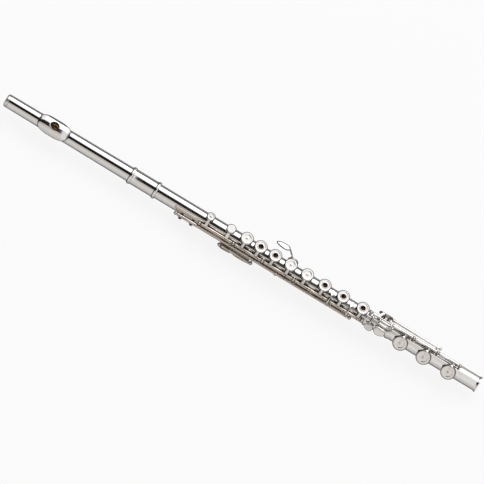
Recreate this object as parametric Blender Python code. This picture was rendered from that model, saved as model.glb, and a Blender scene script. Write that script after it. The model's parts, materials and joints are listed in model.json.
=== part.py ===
"""Concert flute: head joint, body joint and long foot joint, with every key on its own hinge.

X runs along the tube from the crown to the foot, with zero at the embouchure hole. Z points up
through the body cups and -Y is the player's side. An angle across the tube is counted in degrees
from the top towards the player. All lengths are in metres.
"""
import math

import bmesh
import bpy
from mathutils import Matrix, Vector

for old in list(bpy.data.objects):
    bpy.data.objects.remove(old, do_unlink=True)

# Clearances
GAP = 0.0003
SECTION_GAP = 0.0005

# Facets of round pieces
TUBE_SIDES = 24
CUP_SIDES = 16
HOLE_SIDES = 12
ROD_SIDES = 10
BAR_SIDES = 6

# Tubes, as radii
BODY_OUTER = 0.0099
TUBE_WALL = 0.0004
HEAD_TAPER = 0.00095
TENON_CLEARANCE = 0.0004
SOCKET_WALL = 0.0004
RING_HEIGHT = 0.0004
RING_LENGTH = 0.0022
FOOT_END_RISE = 0.0011

# Places along the tube
CROWN_END = -0.072
CROWN_SKIRT = 0.0050
BARREL_START = 0.115
BARREL_LENGTH = 0.041
BARREL_HOLD = 0.006
TENON_LENGTH = 0.0125
FOOT_SOCKET_START = 0.4685
FOOT_BAND_START = 0.5015
FOOT_BAND_LENGTH = 0.0040
FOOT_END = 0.637
FOOT_FLARE = 0.0035

# Tone holes follow a semitone law, with the small ones set nearer the head
HOLE_SCALE = 0.657
HOLE_OFFSET = 0.0625
SMALL_HOLE_SHIFT = 0.016
SEMITONES = 12
BODY_HOLE = 0.0067
SIDE_HOLE = 0.0060
SMALL_HOLE = 0.0036
FOOT_HOLE = 0.0077
CHIMNEY_WALL = 0.0005
CHIMNEY_HEIGHT = 0.0026
CHIMNEY_ROOT = 0.4

# Cups and pads
BODY_CUP = 0.0089
SIDE_CUP = 0.0075
SMALL_CUP = 0.0060
FOOT_CUP = 0.0101
CUP_WALL = 0.0006
CUP_ROOF = 0.0011
CUP_SKIRT = 0.0008
CUP_EDGE = 0.0007
FINGER_HOLE = 0.0033
GROMMET_WALL = 0.0007
GROMMET_LIP = 0.0003
PAD_THICKNESS = 0.0025
PAD_ROUND = 0.0006
NIPPLE_RADIUS = 0.0011
NIPPLE_HEIGHT = 0.0005

# Hinges: steel in a key tube, posts with a ball round the steel
STEEL = 0.0011
KEY_TUBE = 0.0022
BALL = 0.0026
BALL_FLAT = 0.8
STEM = 0.0013
SIDE_STEM = 0.0010
HINGE_RISE = 0.0051
HINGE_LEAD = 59.0
RIB_THICKNESS = 0.0012
RIB_WIDTH = 0.0048
SIDE_RIB_WIDTH = 0.0024
ARM_WIDTH = 0.0046
ARM_TIP_WIDTH = 0.0036
ARM_DEPTH = 0.0016
ARM_ELBOW = 0.0011
ARM_SEAT = 0.00036
KEY_OPENING = 9.0
SIDE_OPENING = 11.0
FOOT_OPENING = 7.0

# Trill rod on the player's side
TRILL_ANGLE = 86.0
TRILL_RISE = 0.0044
TRILL_CUP_ANGLE = 165.0
TRILL_START = 0.190
TRILL_GUIDE = 0.340
TOUCH_THICKNESS = 0.0010
LEVER = 0.0011
TRILL_LEVER = ((77.5, 0.0085), (57.4, 0.0105), (40.2, 0.0095), (24.6, 0.0081))
SPADE = (15.2, 0.0073)
SPADE_LENGTH = 0.0090
SPADE_WIDTH = 0.0064

# Plate for the first finger
INDEX_SHIFT = 0.0035
INDEX_RADIUS = 0.00675
INDEX_THICKNESS = 0.0014

# Thumb keys
THUMB_CUP_ANGLE = 146.0
THUMB_ARM = 0.0095
THUMB_RIB_ANGLE = 95.5
THUMB_POST_LEAD = 0.0070
THUMB_LENGTH = 0.0465
THUMB_TOUCH_LENGTH = 0.019
THUMB_TOUCH_WIDTH = 0.013
THUMB_LEVER_LENGTH = 0.0275
THUMB_LEVER_WIDTH = 0.009

# G sharp key on the far side
G_SHARP_CUP_ANGLE = -98.0
G_SHARP_HALF_SPAN = 0.012
G_SHARP_TOUCH = (-65.8, 0.0140)
G_SHARP_TOUCH_LEAD = 0.0209
G_SHARP_TOUCH_TURN = -6.0
G_SHARP_TOUCH_LENGTH = 0.0205
G_SHARP_TOUCH_WIDTH = 0.0086

# Foot keys
FOOT_HINGE_ANGLE = -5.0
FOOT_RIB_ANGLE = -20.0
FOOT_RIB_WIDTH = 0.0040
FOOT_RIB_START = 0.5065
FOOT_LEFT_POST = 0.0025
FOOT_POST_SHIFT = 0.0052
FOOT_BRIDGE_PLACE = (-20.3, 0.0089)
D_SHARP_ARM_TURN = 21.0
D_SHARP_LEVER = ((14.5, 0.0081), (37.3, 0.0074))
C_SHARP_LEVER = ((13.7, 0.0079), (33.9, 0.0070))
C_LEVER = ((13.6, 0.0092), (-3.9, 0.0094))
BRIDGE_RADIUS = 0.0016
BRIDGE_BALL = 0.0022
PETAL_LENGTH = 0.0124
PETAL_WIDTH = 0.0105
PETAL_LEAD = 0.0100
PETAL_ANGLE = 64.0
PETAL_RISE = 0.0071
PLATE_LENGTH = 0.0165
PLATE_WIDTH = 0.0115
PLATE_SHIFT = 0.0052
PLATE_ANGLE = 60.0
PLATE_RISE = 0.0057
ROLLER = 0.0017
ROLLER_BORE = 0.0010
ROLLER_PIN = 0.0007
ROLLER_LENGTH = 0.0100
ROLLER_START = 0.4870
ROLLER_RISE = 0.0089
ROLLER_FRAME_RISE = 0.0053
ROLLER_ANGLES = {"low_b": 13.0, "low_c": 28.0, "low_c_sharp": 43.0}
EAR = 0.0009

# Head joint
LIP_LENGTH = 0.0455
LIP_CHIN_ARC = 0.0185
LIP_FAR_ARC = 0.0108
LIP_CURVE = 0.0132
LIP_END_FALL = 6
LIP_SQUARENESS = 2.6
LIP_RISE = 0.0050
LIP_THICKNESS = 0.0008
LIP_SEGMENTS = 24
LIP_RINGS = 4
EMBOUCHURE_LENGTH = 0.0122
EMBOUCHURE_WIDTH = 0.0105
EMBOUCHURE_ANGLE = 12.0
RISER_WALL = 0.0010
STOPPER_FACE = -0.0173
CORK_LENGTH = 0.016
STOPPER_PLATE = 0.0012
STOPPER_SCREW = 0.0025
CROWN_NUT = 0.0045
CROWN_PLUG = 0.010
CROWN_DOME = 0.0018
CROWN_FLAT = 0.0045
SCREW_OVERLAP = 0.007

# Shapes of touch plates, and the edge angle past which shading breaks
ROUND_TAPER = 0.25
THUMB_TAPER = -0.2
THUMB_LEVER_TAPER = -0.3
PLATE_TAPER = -0.15
SHARP_EDGE = 35.0

FINISHES = {
    "silver": ((0.86, 0.85, 0.83), 0.12, 1.0),
    "key_silver": ((0.80, 0.78, 0.75), 0.16, 1.0),
    "steel": ((0.55, 0.54, 0.52), 0.25, 1.0),
    "pad": ((0.86, 0.76, 0.58), 0.80, 0.0),
    "cork": ((0.62, 0.44, 0.28), 0.85, 0.0),
}


def across(angle, reach):
    """Point (y, z) across the tube, at an angle from the top and a distance from the axis."""
    turn = math.radians(angle)
    return (-reach * math.sin(turn), reach * math.cos(turn))


def over(angle, rise):
    """Point (y, z) across the tube, at an angle from the top and a height over the body tube."""
    return across(angle, BODY_OUTER + rise)


def hole_station(step, shift=0.0):
    """Distance of a tone hole from the embouchure, counted in semitones above the lowest."""
    return HOLE_SCALE * 2 ** (-step / SEMITONES) - HOLE_OFFSET - shift


def radial_frame(station, angle):
    """Frame on the tube axis whose Z points out through the tube wall."""
    return Matrix.Translation((station, 0, 0)) @ Matrix.Rotation(math.radians(angle), 4, "X")


def rod_frame(centre):
    """Frame whose Z runs along the tube, through a point across it."""
    return Matrix.Translation((0, *centre)) @ Matrix.Rotation(math.pi / 2, 4, "Y")


def plate_frame(station, centre, angle):
    """Frame on a touch plate: X along the tube, Z out of the plate."""
    return Matrix.Translation((station, *centre)) @ Matrix.Rotation(math.radians(angle), 4, "X")


CHIMNEY_TOP = BODY_OUTER + CHIMNEY_HEIGHT
PAD_BOTTOM = CHIMNEY_TOP + GAP
PAD_TOP = PAD_BOTTOM + PAD_THICKNESS
CUP_CEILING = PAD_TOP + GAP
CUP_TOP = CUP_CEILING + CUP_ROOF
CUP_MIDDLE = CUP_TOP - ARM_DEPTH / 2 - GAP
SKIRT_BOTTOM = PAD_BOTTOM + CUP_SKIRT
SOCKET_INNER = BODY_OUTER + GAP
HEAD_TENON_OUTER = SOCKET_INNER - TENON_CLEARANCE
HEAD_CROWN_OUTER = HEAD_TENON_OUTER - HEAD_TAPER
BARREL_END = BARREL_START + BARREL_LENGTH
BODY_START = BARREL_END - BARREL_HOLD
BODY_END = FOOT_SOCKET_START + TENON_LENGTH
RIB_INNER = BODY_OUTER + GAP
RIB_MIDDLE = RIB_INNER + RIB_THICKNESS / 2
MAIN_HINGE = over(HINGE_LEAD, HINGE_RISE)
TRILL_HINGE = over(TRILL_ANGLE, TRILL_RISE)
FOOT_HINGE = over(FOOT_HINGE_ANGLE, HINGE_RISE)
G_SHARP_HINGE = over(G_SHARP_CUP_ANGLE - HINGE_LEAD, HINGE_RISE)
FOOT_BRIDGE = over(*FOOT_BRIDGE_PLACE)
FOOT_CUP_ANGLE = FOOT_HINGE_ANGLE + HINGE_LEAD
D_SHARP_CUP_ANGLE = FOOT_HINGE_ANGLE - HINGE_LEAD


def lathe(profile, frame, sides, loop=False):
    """Turn a profile of (height, radius) points about the frame's Z axis."""
    bm = bmesh.new()
    rings = []
    for height, radius in profile:
        count = sides if radius > 0 else 1
        turns = [2 * math.pi * k / sides for k in range(count)]
        points = [Vector((radius * math.cos(t), radius * math.sin(t), height)) for t in turns]
        rings.append([bm.verts.new(frame @ point) for point in points])
    pairs = list(zip(rings, rings[1:]))
    if loop:
        pairs.append((rings[-1], rings[0]))
    for low, high in pairs:
        for k in range(sides):
            n = (k + 1) % sides
            corners = [low[k % len(low)], low[n % len(low)], high[n % len(high)], high[k % len(high)]]
            bm.faces.new(list(dict.fromkeys(corners)))
    return bm


def rod(start, end, radius, centre, sides=ROD_SIDES):
    """Solid round rod along the tube."""
    return lathe([(start, 0), (start, radius), (end, radius), (end, 0)], rod_frame(centre), sides)


def ball(station, radius, centre):
    """Ball with flattened ends on a rod, as a post carries."""
    half = radius * BALL_FLAT
    waist = math.sqrt(radius ** 2 - half ** 2)
    profile = [(station - half, 0), (station - half, waist), (station, radius)]
    profile += [(station + half, waist), (station + half, 0)]
    return lathe(profile, rod_frame(centre), ROD_SIDES)


def tube(start, end, outer, inner, centre=(0, 0), sides=TUBE_SIDES):
    """Straight open tube along the flute."""
    profile = [(start, inner), (start, outer), (end, outer), (end, inner)]
    return lathe(profile, rod_frame(centre), sides, loop=True)


def bar(points, radius, sides=BAR_SIDES):
    """Round bar through points, with mitred bends and flat ends."""
    bm = bmesh.new()
    path = [Vector(p) for p in points]
    rings = []
    side = None
    for i, point in enumerate(path):
        before = (point - path[i - 1]).normalized() if i else None
        after = (path[i + 1] - point).normalized() if i + 1 < len(path) else None
        along = ((before or after) + (after or before)).normalized()
        if side is None:
            side = along.orthogonal().normalized()
        side = (side - along * side.dot(along)).normalized()
        other = along.cross(side)
        turns = [2 * math.pi * k / sides for k in range(sides)]
        ring = [point + radius * (math.cos(t) * side + math.sin(t) * other) for t in turns]
        rings.append([bm.verts.new(p) for p in ring])
    for low, high in zip(rings, rings[1:]):
        for k in range(sides):
            n = (k + 1) % sides
            bm.faces.new([low[k], low[n], high[n], high[k]])
    bm.faces.new(rings[0])
    bm.faces.new(rings[-1])
    return bm


def arm(points, widths, depth=ARM_DEPTH):
    """Flat arm through (x, y, z) points: its width runs along the tube, its depth across the arm."""
    bm = bmesh.new()
    path = [Vector(p) for p in points]
    rings = []
    for i, point in enumerate(path):
        run = path[min(i + 1, len(path) - 1)] - path[max(i - 1, 0)]
        across_run = Vector((0, -run.z, run.y)).normalized() * depth / 2
        half = Vector((widths[i] / 2, 0, 0))
        corners = [point - half - across_run, point + half - across_run]
        corners += [point + half + across_run, point - half + across_run]
        rings.append([bm.verts.new(c) for c in corners])
    for low, high in zip(rings, rings[1:]):
        for k in range(4):
            n = (k + 1) % 4
            bm.faces.new([low[k], low[n], high[n], high[k]])
    bm.faces.new(rings[0])
    bm.faces.new(rings[-1])
    return bm


def petal(length, width, frame, thickness=TOUCH_THICKNESS, taper=ROUND_TAPER, count=14):
    """Teardrop touch plate, broad end towards +X, with its middle plane in the frame."""
    bm = bmesh.new()
    rims = []
    for height in (-thickness / 2, thickness / 2):
        turns = [2 * math.pi * k / count for k in range(count)]
        rim = []
        for t in turns:
            half_width = width / 2 * (1 + taper * math.cos(t))
            point = Vector((length / 2 * math.cos(t), half_width * math.sin(t), height))
            rim.append(bm.verts.new(frame @ point))
        rims.append(rim)
    for k in range(count):
        n = (k + 1) % count
        bm.faces.new([rims[0][k], rims[0][n], rims[1][n], rims[1][k]])
    bm.faces.new(rims[0])
    bm.faces.new(rims[1])
    return bm


def strip(start, end, angle, width, inner=RIB_INNER, thickness=RIB_THICKNESS, steps=6):
    """Rib bent round the tube wall, with rounded ends, along the flute."""
    bm = bmesh.new()
    half = width / 2
    outline = []
    for end_station, sign in ((end - half, 1), (start + half, -1)):
        for k in range(steps + 1):
            turn = math.pi * k / steps - math.pi / 2
            outline.append((end_station + sign * half * math.cos(turn), sign * half * math.sin(turn)))
    rims = []
    for reach in (inner, inner + thickness):
        rim = []
        for station, offset in outline:
            y, z = across(angle + math.degrees(offset / BODY_OUTER), reach)
            rim.append(bm.verts.new((station, y, z)))
        rims.append(rim)
    count = len(outline)
    for k in range(count):
        n = (k + 1) % count
        bm.faces.new([rims[0][k], rims[0][n], rims[1][n], rims[1][k]])
    bm.faces.new(rims[0])
    bm.faces.new(rims[1])
    return bm


def working_object(bm):
    """Object for a shape that a cut or union uses."""
    bmesh.ops.recalc_face_normals(bm, faces=bm.faces)
    mesh = bpy.data.meshes.new("shape")
    bm.to_mesh(mesh)
    bm.free()
    shape = bpy.data.objects.new("shape", mesh)
    bpy.context.scene.collection.objects.link(shape)
    return shape


def fuse(shapes, cutters=(), solver="EXACT"):
    """Mesh of all shapes joined, with the cutters taken away."""
    objects = [working_object(bm) for bm in shapes]
    tools = [working_object(bm) for bm in cutters]
    base = objects[0]
    steps = [(tool, "UNION") for tool in objects[1:]] + [(tool, "DIFFERENCE") for tool in tools]
    for tool, operation in steps:
        modifier = base.modifiers.new(operation, "BOOLEAN")
        modifier.object = tool
        modifier.operation = operation
        modifier.solver = solver
    graph = bpy.context.evaluated_depsgraph_get()
    mesh = bpy.data.meshes.new_from_object(base.evaluated_get(graph))
    for used in objects + tools:
        bpy.data.objects.remove(used, do_unlink=True)
    bm = bmesh.new()
    bm.from_mesh(mesh)
    bmesh.ops.remove_doubles(bm, verts=bm.verts, dist=1e-6)
    bmesh.ops.dissolve_degenerate(bm, edges=bm.edges, dist=1e-6)
    bmesh.ops.triangulate(bm, faces=bm.faces)
    bm.to_mesh(mesh)
    bm.free()
    return mesh


def finish_material(name, finish):
    """Material of one piece, from the table of finishes."""
    colour, roughness, metallic = FINISHES[finish]
    material = bpy.data.materials.new(name)
    material.use_nodes = True
    shader = material.node_tree.nodes["Principled BSDF"]
    shader.inputs["Base Color"].default_value = (*colour, 1.0)
    shader.inputs["Roughness"].default_value = roughness
    shader.inputs["Metallic"].default_value = metallic
    return material


def place(name, mesh, finish, parent=None):
    """Named piece of the flute, under its hinge if it has one."""
    mesh.name = name
    if parent is not None:
        mesh.transform(Matrix.Translation(-Vector(parent.location)))
    mesh.materials.clear()
    mesh.materials.append(finish_material(name, finish))
    mesh.shade_smooth()
    mesh.set_sharp_from_angle(angle=math.radians(SHARP_EDGE))
    piece = bpy.data.objects.new(name, mesh)
    bpy.context.scene.collection.objects.link(piece)
    piece.parent = parent
    return piece


def hinge(name, station, centre, rest_angle=0.0):
    """Empty on a hinge axis, turned from the closed key to where the key rests."""
    empty = bpy.data.objects.new(name + "_hinge", None)
    bpy.context.scene.collection.objects.link(empty)
    empty.location = (station, *centre)
    empty.rotation_euler.x = math.radians(rest_angle)
    return empty


def closed_cup(radius):
    """Profile of a plain cup with its nipple and its hollow for the pad."""
    inner = radius - CUP_WALL
    return [(CUP_TOP + NIPPLE_HEIGHT, 0), (CUP_TOP, NIPPLE_RADIUS), (CUP_TOP, radius - CUP_EDGE),
            (CUP_TOP - CUP_EDGE, radius), (SKIRT_BOTTOM, radius), (SKIRT_BOTTOM, inner),
            (CUP_CEILING, inner), (CUP_CEILING, 0)]


def open_cup(radius):
    """Profile of a cup with a finger hole and its grommet."""
    inner = radius - CUP_WALL
    sleeve = FINGER_HOLE + GROMMET_WALL
    return [(CUP_TOP + GROMMET_LIP, FINGER_HOLE), (CUP_TOP, sleeve + GROMMET_LIP),
            (CUP_TOP, radius - CUP_EDGE), (CUP_TOP - CUP_EDGE, radius),
            (SKIRT_BOTTOM, radius), (SKIRT_BOTTOM, inner), (CUP_CEILING, inner), (CUP_CEILING, sleeve),
            (SKIRT_BOTTOM, sleeve), (SKIRT_BOTTOM, FINGER_HOLE)]


def cup(station, angle, radius, finger_hole=False):
    """Cup over a tone hole, in its closed place."""
    profile = open_cup(radius) if finger_hole else closed_cup(radius)
    return lathe(profile, radial_frame(station, angle), CUP_SIDES, loop=finger_hole)


def add_pad(name, parent, station, angle, cup_radius, finger_hole=False):
    """Felt pad in a cup, closed over its chimney."""
    outer = cup_radius - CUP_WALL - GAP
    inner = FINGER_HOLE + GROMMET_WALL + GAP if finger_hole else 0
    profile = [(PAD_BOTTOM, inner), (PAD_BOTTOM, outer - PAD_ROUND), (PAD_BOTTOM + PAD_ROUND, outer)]
    profile += [(PAD_TOP, outer), (PAD_TOP, inner)]
    shape = lathe(profile, radial_frame(station, angle), CUP_SIDES, loop=finger_hole)
    place(name, fuse([shape]), "pad", parent)


def cup_arm(station, centre, angle, cup_radius, towards):
    """Arm from a hinge to the near rim of a cup; towards is -1 or 1 along the cup's Y."""
    frame = radial_frame(station, angle)
    elbow = frame @ Vector((0, towards * (cup_radius + ARM_ELBOW), CUP_MIDDLE))
    rim = frame @ Vector((0, towards * (cup_radius - ARM_SEAT), CUP_MIDDLE))
    return arm([(station, *centre), elbow, rim], [ARM_WIDTH, ARM_TIP_WIDTH, ARM_TIP_WIDTH])


def add_key(name, shapes, span, centre, rest_angle=0.0, bored=True, solver="EXACT"):
    """Key made of its shapes and a hinge tube over a span, bored for its steel."""
    start, end = span
    parent = hinge(name, (start + end) / 2, centre, rest_angle)
    bore = rod(start - KEY_TUBE, end + KEY_TUBE, STEEL + GAP, centre)
    mesh = fuse([rod(start, end, KEY_TUBE, centre)] + shapes, [bore] if bored else [], solver)
    place(name, mesh, "key_silver", parent)
    return parent


def post(station, centre, angle, stem=STEM, radius=BALL, foot_reach=RIB_MIDDLE):
    """Post that rises from a rib to a hinge and ends in a ball."""
    foot = (station, *across(angle, foot_reach))
    return [bar([foot, (station, *centre)], stem), ball(station, radius, centre)]


def section_spans(left_post, right_post, cups):
    """Hinge tube spans of keys that share the room between two posts."""
    edges = [left_post + BALL + GAP]
    for first, second in zip(cups, cups[1:]):
        edges.append((first + second) / 2)
    edges.append(right_post - BALL - GAP)
    half = SECTION_GAP / 2
    return [(a + half, b - half) for a, b in zip(edges, edges[1:])]


# Tone holes: station, angle and radius
C_SHARP = hole_station(13, SMALL_HOLE_SHIFT)
D_TRILL = hole_station(14, SMALL_HOLE_SHIFT)
D_SHARP_TRILL = hole_station(15, SMALL_HOLE_SHIFT)
THUMB_B = hole_station(12)
B_FLAT = hole_station(11)
A = hole_station(10)
G = hole_station(9)
LOWER_G = hole_station(8)
F_SHARP = hole_station(7)
F = hole_station(6)
E = hole_station(5)
D = hole_station(4)
FOOT_D_SHARP = hole_station(3)
LOW_C_SHARP = hole_station(2)
LOW_C = hole_station(1)
LOW_B = hole_station(0)

INDEX_PLATE = (C_SHARP + B_FLAT) / 2 + INDEX_SHIFT

MAIN_POSTS = [C_SHARP - SMALL_CUP - BALL, B_FLAT - BODY_CUP - BALL - SECTION_GAP, (A + G) / 2,
              (LOWER_G + F_SHARP) / 2, (F + E) / 2, D + BODY_CUP - 4 * SECTION_GAP]
TRILL_END = (E + D) / 2 + BALL + 2 * GAP + STEM * 2
THUMB_HINGE_X = (THUMB_B - THUMB_POST_LEAD, THUMB_B - THUMB_POST_LEAD + THUMB_LENGTH)
FOOT_FIRST_POST = FOOT_SOCKET_START + FOOT_LEFT_POST
FOOT_POSTS = [(LOW_C_SHARP + LOW_C) / 2 - FOOT_POST_SHIFT, (LOW_C + LOW_B) / 2 - FOOT_POST_SHIFT,
              LOW_B + FOOT_CUP - SECTION_GAP]


def thumb_hinge():
    """Hinge point from which the thumb cup closes square on its hole."""
    middle = Vector(over(THUMB_CUP_ANGLE, HINGE_RISE))
    turn = math.radians(THUMB_CUP_ANGLE)
    sideways = Vector((-math.cos(turn), -math.sin(turn)))
    point = middle - sideways * THUMB_ARM
    return (point.x, point.y)


THUMB_HINGE = thumb_hinge()


def head_outer(station):
    """Outer radius of the tapered head tube."""
    start = CROWN_END + CROWN_SKIRT
    share = min(1.0, (station - start) / (BARREL_START - start))
    return HEAD_CROWN_OUTER + (HEAD_TENON_OUTER - HEAD_CROWN_OUTER) * share


def embouchure_frame():
    """Frame at the embouchure, turned towards the player."""
    return radial_frame(0, EMBOUCHURE_ANGLE)


def lip_point(x, arc, depth=0.0):
    """Point of the lip plate, at an arc length across it and a depth under its surface."""
    top = head_outer(0) + LIP_RISE
    full_drop = top - LIP_THICKNESS - GAP - head_outer(LIP_LENGTH / 2)
    drop = full_drop * abs(x / (LIP_LENGTH / 2)) ** LIP_END_FALL
    bend = arc / LIP_CURVE
    reach = LIP_CURVE - depth
    return Vector((x, reach * math.sin(bend), top - drop - LIP_CURVE + reach * math.cos(bend)))


def ring_body(columns):
    """Closed body from columns of points that go round it."""
    bm = bmesh.new()
    columns = [[bm.verts.new(p) for p in column] for column in columns]
    for here, beyond in zip(columns, columns[1:] + columns[:1]):
        count = len(here)
        for k in range(count):
            n = (k + 1) % count
            bm.faces.new([here[k], here[n], beyond[n], beyond[k]])
    return bm


def squared(turn):
    """Point on an outline one unit out, between a circle and a square."""
    sides = (math.cos(turn), math.sin(turn))
    return [math.copysign(abs(side) ** (2 / LIP_SQUARENESS), side) for side in sides]


def lip_plate():
    """Saddle plate round the embouchure hole."""
    frame = embouchure_frame()
    columns = []
    for k in range(LIP_SEGMENTS):
        turn = 2 * math.pi * k / LIP_SEGMENTS
        hole_arc = LIP_CURVE * math.asin(EMBOUCHURE_WIDTH / 2 * math.sin(turn) / LIP_CURVE)
        hole = Vector((EMBOUCHURE_LENGTH / 2 * math.cos(turn), hole_arc))
        reach = LIP_FAR_ARC if turn < math.pi else LIP_CHIN_ARC
        along, aside = squared(turn)
        rim = Vector((LIP_LENGTH / 2 * along, reach * aside))
        spots = [hole.lerp(rim, r / LIP_RINGS) for r in range(LIP_RINGS + 1)]
        top = [frame @ lip_point(*spot) for spot in spots]
        under = [frame @ lip_point(*spot, LIP_THICKNESS) for spot in reversed(spots)]
        columns.append(top + under)
    return ring_body(columns)


def embouchure_riser():
    """Oval chimney between the head tube and the lip plate."""
    frame = embouchure_frame()
    foot_radius = head_outer(0) + 2 * GAP
    columns = []
    for k in range(LIP_SEGMENTS):
        turn = 2 * math.pi * k / LIP_SEGMENTS
        column = []
        for wall, at_top in ((0, True), (RISER_WALL, True), (RISER_WALL, False), (0, False)):
            x = (EMBOUCHURE_LENGTH / 2 + wall) * math.cos(turn)
            y = (EMBOUCHURE_WIDTH / 2 + wall) * math.sin(turn)
            arc = LIP_CURVE * math.asin(y / LIP_CURVE)
            height = lip_point(x, arc).z - LIP_THICKNESS - 2 * GAP
            if not at_top:
                height = math.sqrt(foot_radius ** 2 - y ** 2)
            column.append(frame @ Vector((x, y, height)))
        columns.append(column)
    return ring_body(columns)


def build_head():
    """Crown, stopper, head tube, riser and lip plate."""
    start = CROWN_END + CROWN_SKIRT + GAP
    end = BODY_START - 2 * GAP
    first, last = head_outer(start), HEAD_TENON_OUTER
    profile = [(start, first - TUBE_WALL), (start, first), (BARREL_START, last), (end, last)]
    profile += [(end, last - TUBE_WALL), (BARREL_START, last - TUBE_WALL)]
    oval = embouchure_frame() @ Matrix.Diagonal((EMBOUCHURE_LENGTH / 2, EMBOUCHURE_WIDTH / 2, 1, 1))
    inside, above = head_outer(0) / 2, head_outer(0) + LIP_RISE
    hole = lathe([(inside, 0), (inside, 1), (above, 1), (above, 0)], oval, LIP_SEGMENTS)
    head = fuse([lathe(profile, rod_frame((0, 0)), TUBE_SIDES, loop=True)], [hole])
    place("head_tube", head, "silver")
    place("embouchure_riser", fuse([embouchure_riser()]), "silver")
    place("lip_plate", fuse([lip_plate()]), "silver")

    skirt_end = CROWN_END + CROWN_SKIRT
    thread = STOPPER_SCREW + GAP
    nut_end = skirt_end + CROWN_PLUG
    profile = [(CROWN_END, 0), (CROWN_END, CROWN_FLAT), (CROWN_END + CROWN_DOME / 3, first - CROWN_DOME / 2)]
    profile += [(CROWN_END + CROWN_DOME, first), (skirt_end, first), (skirt_end, CROWN_NUT)]
    profile += [(nut_end, CROWN_NUT), (nut_end, thread), (skirt_end, thread), (skirt_end, 0)]
    crown_parent = hinge("crown", skirt_end, (0, 0))
    place("crown", fuse([lathe(profile, rod_frame((0, 0)), TUBE_SIDES)]), "silver", crown_parent)

    cork_end = STOPPER_FACE - STOPPER_PLATE - GAP
    cork_start = cork_end - CORK_LENGTH
    cork_outer = head_outer(cork_start) - TUBE_WALL - GAP
    plate = cork_outer - GAP
    screw_start = nut_end - SCREW_OVERLAP
    back = cork_start - GAP
    profile = [(screw_start, 0), (screw_start, STOPPER_SCREW), (back - STOPPER_PLATE, STOPPER_SCREW)]
    profile += [(back - STOPPER_PLATE, plate), (back, plate), (back, STOPPER_SCREW)]
    profile += [(cork_end + GAP, STOPPER_SCREW), (cork_end + GAP, plate), (STOPPER_FACE, plate)]
    profile += [(STOPPER_FACE, 0)]
    place("stopper_screw", fuse([lathe(profile, rod_frame((0, 0)), CUP_SIDES)]), "steel")
    cork = tube(cork_start, cork_end, cork_outer, STOPPER_SCREW + GAP, sides=CUP_SIDES)
    place("stopper_cork", fuse([cork]), "cork")


def chimney(station, angle, hole):
    """Raised rim of a tone hole, and the cutter of the hole itself."""
    frame = radial_frame(station, angle)
    inside = BODY_OUTER * CHIMNEY_ROOT
    rim = hole + CHIMNEY_WALL
    outer = lathe([(inside, 0), (inside, rim), (CHIMNEY_TOP, rim), (CHIMNEY_TOP, 0)], frame, HOLE_SIDES)
    above = CHIMNEY_TOP + CHIMNEY_HEIGHT
    inner = lathe([(inside / 2, 0), (inside / 2, hole), (above, hole), (above, 0)], frame, HOLE_SIDES)
    return outer, inner


BODY_HOLES = [(station, 0.0, BODY_HOLE) for station in (B_FLAT, A, G, LOWER_G, F_SHARP, F, E, D)]
BODY_HOLES += [(C_SHARP, 0.0, SMALL_HOLE), (THUMB_B, THUMB_CUP_ANGLE, SIDE_HOLE)]
BODY_HOLES += [(LOWER_G, G_SHARP_CUP_ANGLE, SIDE_HOLE)]
BODY_HOLES += [(station, TRILL_CUP_ANGLE, SMALL_HOLE) for station in (D_TRILL, D_SHARP_TRILL)]
FOOT_HOLES = [(station, FOOT_CUP_ANGLE, FOOT_HOLE) for station in (LOW_C_SHARP, LOW_C, LOW_B)]
FOOT_HOLES += [(FOOT_D_SHARP, D_SHARP_CUP_ANGLE, FOOT_HOLE)]


def build_body():
    """Body tube with its tone holes, and the barrel that takes the head joint."""
    rims, holes = zip(*[chimney(*hole) for hole in BODY_HOLES])
    outside = rod(BODY_START, BODY_END, BODY_OUTER, (0, 0), TUBE_SIDES)
    bore = rod(BODY_START - BODY_OUTER, BODY_END + BODY_OUTER, BODY_OUTER - TUBE_WALL, (0, 0), TUBE_SIDES)
    place("body_tube", fuse([outside, *rims], [bore, *holes], "MANIFOLD"), "silver")

    outer = SOCKET_INNER + SOCKET_WALL
    ring = outer + RING_HEIGHT
    profile = [(BARREL_START, SOCKET_INNER)]
    for start in (BARREL_START, BARREL_END - RING_LENGTH):
        profile += [(start, outer), (start, ring), (start + RING_LENGTH, ring), (start + RING_LENGTH, outer)]
    del profile[1], profile[-1]
    profile += [(BARREL_END, SOCKET_INNER)]
    place("barrel", fuse([lathe(profile, rod_frame((0, 0)), TUBE_SIDES, loop=True)]), "silver")


def bore_cutter(start, end, centre, radius=STEEL + GAP):
    """Hole for a steel through the posts of a rib."""
    return rod(start - 2 * BALL, end + 2 * BALL, radius, centre)


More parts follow.
